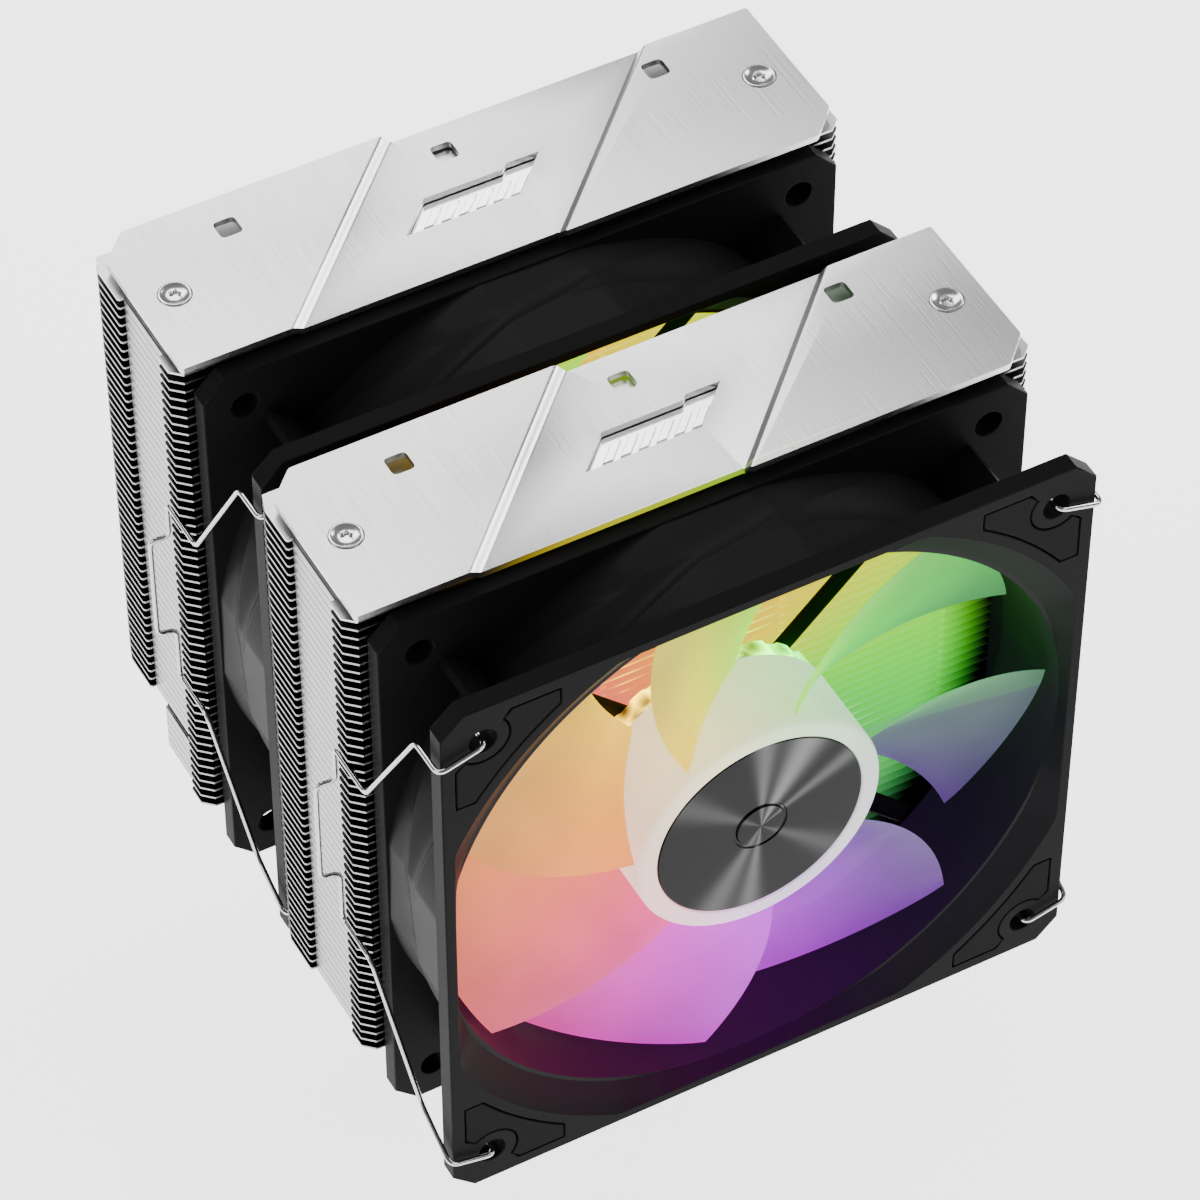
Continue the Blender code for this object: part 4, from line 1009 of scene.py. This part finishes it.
# Painted highlights: pale fans on the black cap where its spun face would catch the lights.
painted_highlight_fans(cap_metal, ((62, 60, 0.10), (88, 160, 0.06), (28, 200, 0.05), (-118, 60, 0.05),
                         (-96, 160, 0.06), (140, 90, 0.03), (-42, 120, 0.03)))
tree = cap_metal.node_tree
tangent = add(tree, "Tangent")
tangent.direction_type = "RADIAL"
tangent.axis = "Y"
linked(tree, tree.nodes["Principled BSDF"], Tangent=tangent.outputs["Tangent"])
blades_look = lit_plastic("lit blades", (0.03, 0.03, 0.03), 0.0, 1.9, 1.15, 0.92, 0.42)
hub_look = lit_plastic("lit hub", (0.3, 0.3, 0.29), 0.5, 1.7, 1.7, 1.0, 0.4)
ferrite = surface("magnet ferrite", (0.08, 0.08, 0.09), 0.0, 0.6, scale=2500, spread=0.2, bump=0.4)
wall = HUB_R - 2 * MM
seat = HUB_FRONT - CAP_SHEET - 0.3 * MM
lip = 1.2 * MM
cup = [(0, seat - 1.8 * MM), (wall, seat - 1.8 * MM), (wall, HUB_BACK), (HUB_R, HUB_BACK)]
cup += [(HUB_R - lip * (1 - math.cos(a)), HUB_FRONT - lip * (1 - math.sin(a)))
        for a in np.radians(np.linspace(0, 90, 7))]
cup += [(CAP_R + 0.35 * MM, HUB_FRONT), (CAP_R + 0.15 * MM, HUB_FRONT - 0.15 * MM),
        (CAP_R + 0.15 * MM, seat), (0, seat)]
face = HUB_FRONT - 0.1 * MM
cap = [(0, seat + 0.1 * MM), (CAP_R - 0.1 * MM, seat + 0.1 * MM), (CAP_R, face - 0.25 * MM),
       (CAP_R - 0.25 * MM, face), (5.2 * MM, face), (5.0 * MM, face - 0.25 * MM),
       (4.6 * MM, face - 0.25 * MM), (4.4 * MM, face + 0.1 * MM), (0, face + 0.16 * MM)]
rod = mm([(0, 2.6), (1.5, 2.6), (1.5, 19), (0, 19)])
inner, outer = wall - 3 * MM, wall - 0.3 * MM
magnet = [(inner, 7 * MM), (outer, 7 * MM), (outer, 18.6 * MM), (inner, 18.6 * MM)]
blades = joined([blade(2 * math.pi * k / BLADES) for k in range(BLADES)])
for fan in OUTLETS:
    body = f"{fan}_fan_rotor"
    make(f"fan_{fan}_blades", stood(blades, fan), blades_look, "frosted_plastic", body, sharp=80)
    make(f"fan_{fan}_hub", stood(lathe(cup, 160), fan), hub_look, "frosted_plastic", body,
         [f"fan_{fan}_rotor"])
    make(f"fan_{fan}_cap", stood(lathe(cap, 160), fan), cap_metal, "cap_metal", body,
         [f"fan_{fan}_hub_cap"])
    part(f"fan_{fan}_shaft", stood(lathe(rod, 32), fan), bright_steel, "shaft_steel", body)
    make(f"fan_{fan}_magnet_body", stood(lathe(magnet, 64), fan), ferrite, "magnet_ferrite", body,
         [f"fan_{fan}_magnet_ring"])

# ---------------- wire clips
# Each clip is one length of bright spring wire. Its ends hook into the fan's corner holes, and its
# middle snaps over the fin edges, with a raised loop to grip.

WIRE_R = 0.45 * MM
WIRE_GAP = 0.9 * MM
CLIP_UPPER_Z = 118.0 * MM
CLIP_LOWER_Z = 74.7 * MM
GRIP_Z = (86.5 * MM, 110 * MM)
clip_metal = surface("clip spring wire", (0.48, 0.48, 0.49), 1.0, 0.15, grain=(1, 1, 0.1), scale=3000,
                     spread=0.04, bump=0.08)


def clip_corners(intake, tower):
    """The wire's corners on the right side: x from the hook, y from the fan's intake, and z."""
    gap = WIRE_GAP
    edge, fins = 60 * MM + gap - HOLE, WALL_X + gap - HOLE
    rest = tower - 7.8 * MM - intake
    before = FIN_Y[0] + tower - intake
    top, bottom = FAN_Z + HOLE, FAN_Z - HOLE
    grip = fins + 3.4 * MM
    return np.array([
        (0, 2.6 * MM, top), (0, -gap, top), (edge, -gap, top - 2.5 * MM), (edge, 7 * MM, top - 2.8 * MM),
        (fins, before - 4 * MM, CLIP_UPPER_Z), (fins, rest, CLIP_UPPER_Z), (fins, rest, GRIP_Z[1]),
        (grip, rest + 0.5 * MM, GRIP_Z[1]), (grip, rest + 0.5 * MM, GRIP_Z[0]), (fins, rest, GRIP_Z[0]),
        (fins, rest, CLIP_LOWER_Z), (fins, before - 3 * MM, CLIP_LOWER_Z), (edge, 9 * MM, bottom + 7 * MM),
        (edge, -gap, bottom + 2 * MM), (0, -gap, bottom), (0, 2.6 * MM, bottom),
    ])


for fan, tower in TOWERS.items():
    intake = OUTLETS[fan] - FAN_DEPTH
    for side, sign in (("left", -1), ("right", 1)):
        corners = clip_corners(intake, tower)
        corners[:, 0] = sign * (HOLE + corners[:, 0])
        corners[:, 1] += intake
        route, radii = domed(rounded_route(corners, 1.6 * MM), WIRE_R)
        part(f"fan_{fan}_clip_{side}", tube(route, radii, 14), clip_metal, "clip_wire",
             f"{fan}_{side}_clip", "wire")

# ---------------- table, light and camera
# The cooler stands on a plain white lit table under large soft lights, seen from above its front
# left.

white_table = surface("white table", (0.9, 0.9, 0.9), 0.0, 0.7, scale=30, spread=0.01, bump=0.0,
                      Emission_Color=(1, 1, 1, 1), Emission_Strength=2.7)
HALF_TABLE, TABLE_Z = 6, -0.0005
table = bpy.data.meshes.new("table")
table.from_pydata([(x * HALF_TABLE, y * HALF_TABLE, TABLE_Z)
                   for x, y in ((-1, -1), (1, -1), (1, 1), (-1, 1))], [], [(0, 1, 2, 3)])
table.materials.append(white_table)
table_top = bpy.data.objects.new("table", table)
bpy.context.scene.collection.objects.link(table_top)
table_top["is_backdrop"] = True

world = bpy.data.worlds.new("studio")
bpy.context.scene.world = world
world.use_nodes = True
linked(world.node_tree, world.node_tree.nodes["Background"], Color=(1, 1, 1, 1), Strength=0.22)


def softbox(name, place, target, width, height, power):
    """A rectangular area light that faces a point."""
    data = bpy.data.lights.new(name, "AREA")
    data.shape = "RECTANGLE"
    data.size = width
    data.size_y = height
    data.energy = power
    light = bpy.data.objects.new(name, data)
    light.location = place
    light.rotation_euler = (Vector(target) - Vector(place)).to_track_quat("-Z", "Y").to_euler()
    bpy.context.scene.collection.objects.link(light)


softbox("behind", (0.1, 0.9, 1.15), (0, 0, 0.15), 0.9, 0.5, 7)
softbox("right", (1.1, 0.12, 0.9), (0, 0, 0.12), 0.6, 0.5, 9)
softbox("left", (-1.0, 0.1, 0.7), (0, 0, 0.1), 0.5, 0.7, 5)
softbox("front", (0.5, -1.1, 0.95), (0, 0, 0.1), 0.7, 0.3, 5)

camera = bpy.data.objects.new("camera", bpy.data.cameras.new("camera"))
camera.data.sensor_width = 36
camera.data.lens = 174.4
camera.location = (-0.3231, -0.6043, 0.8289)
camera.rotation_euler = Vector((0.3247, 0.5937, -0.7363)).to_track_quat("-Z", "Y").to_euler()
camera.data.clip_start = 0.01
bpy.context.scene.collection.objects.link(camera)
bpy.context.scene.camera = camera

# ---------------- sizes and finish
# The finished model's box, in metres.

low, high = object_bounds()
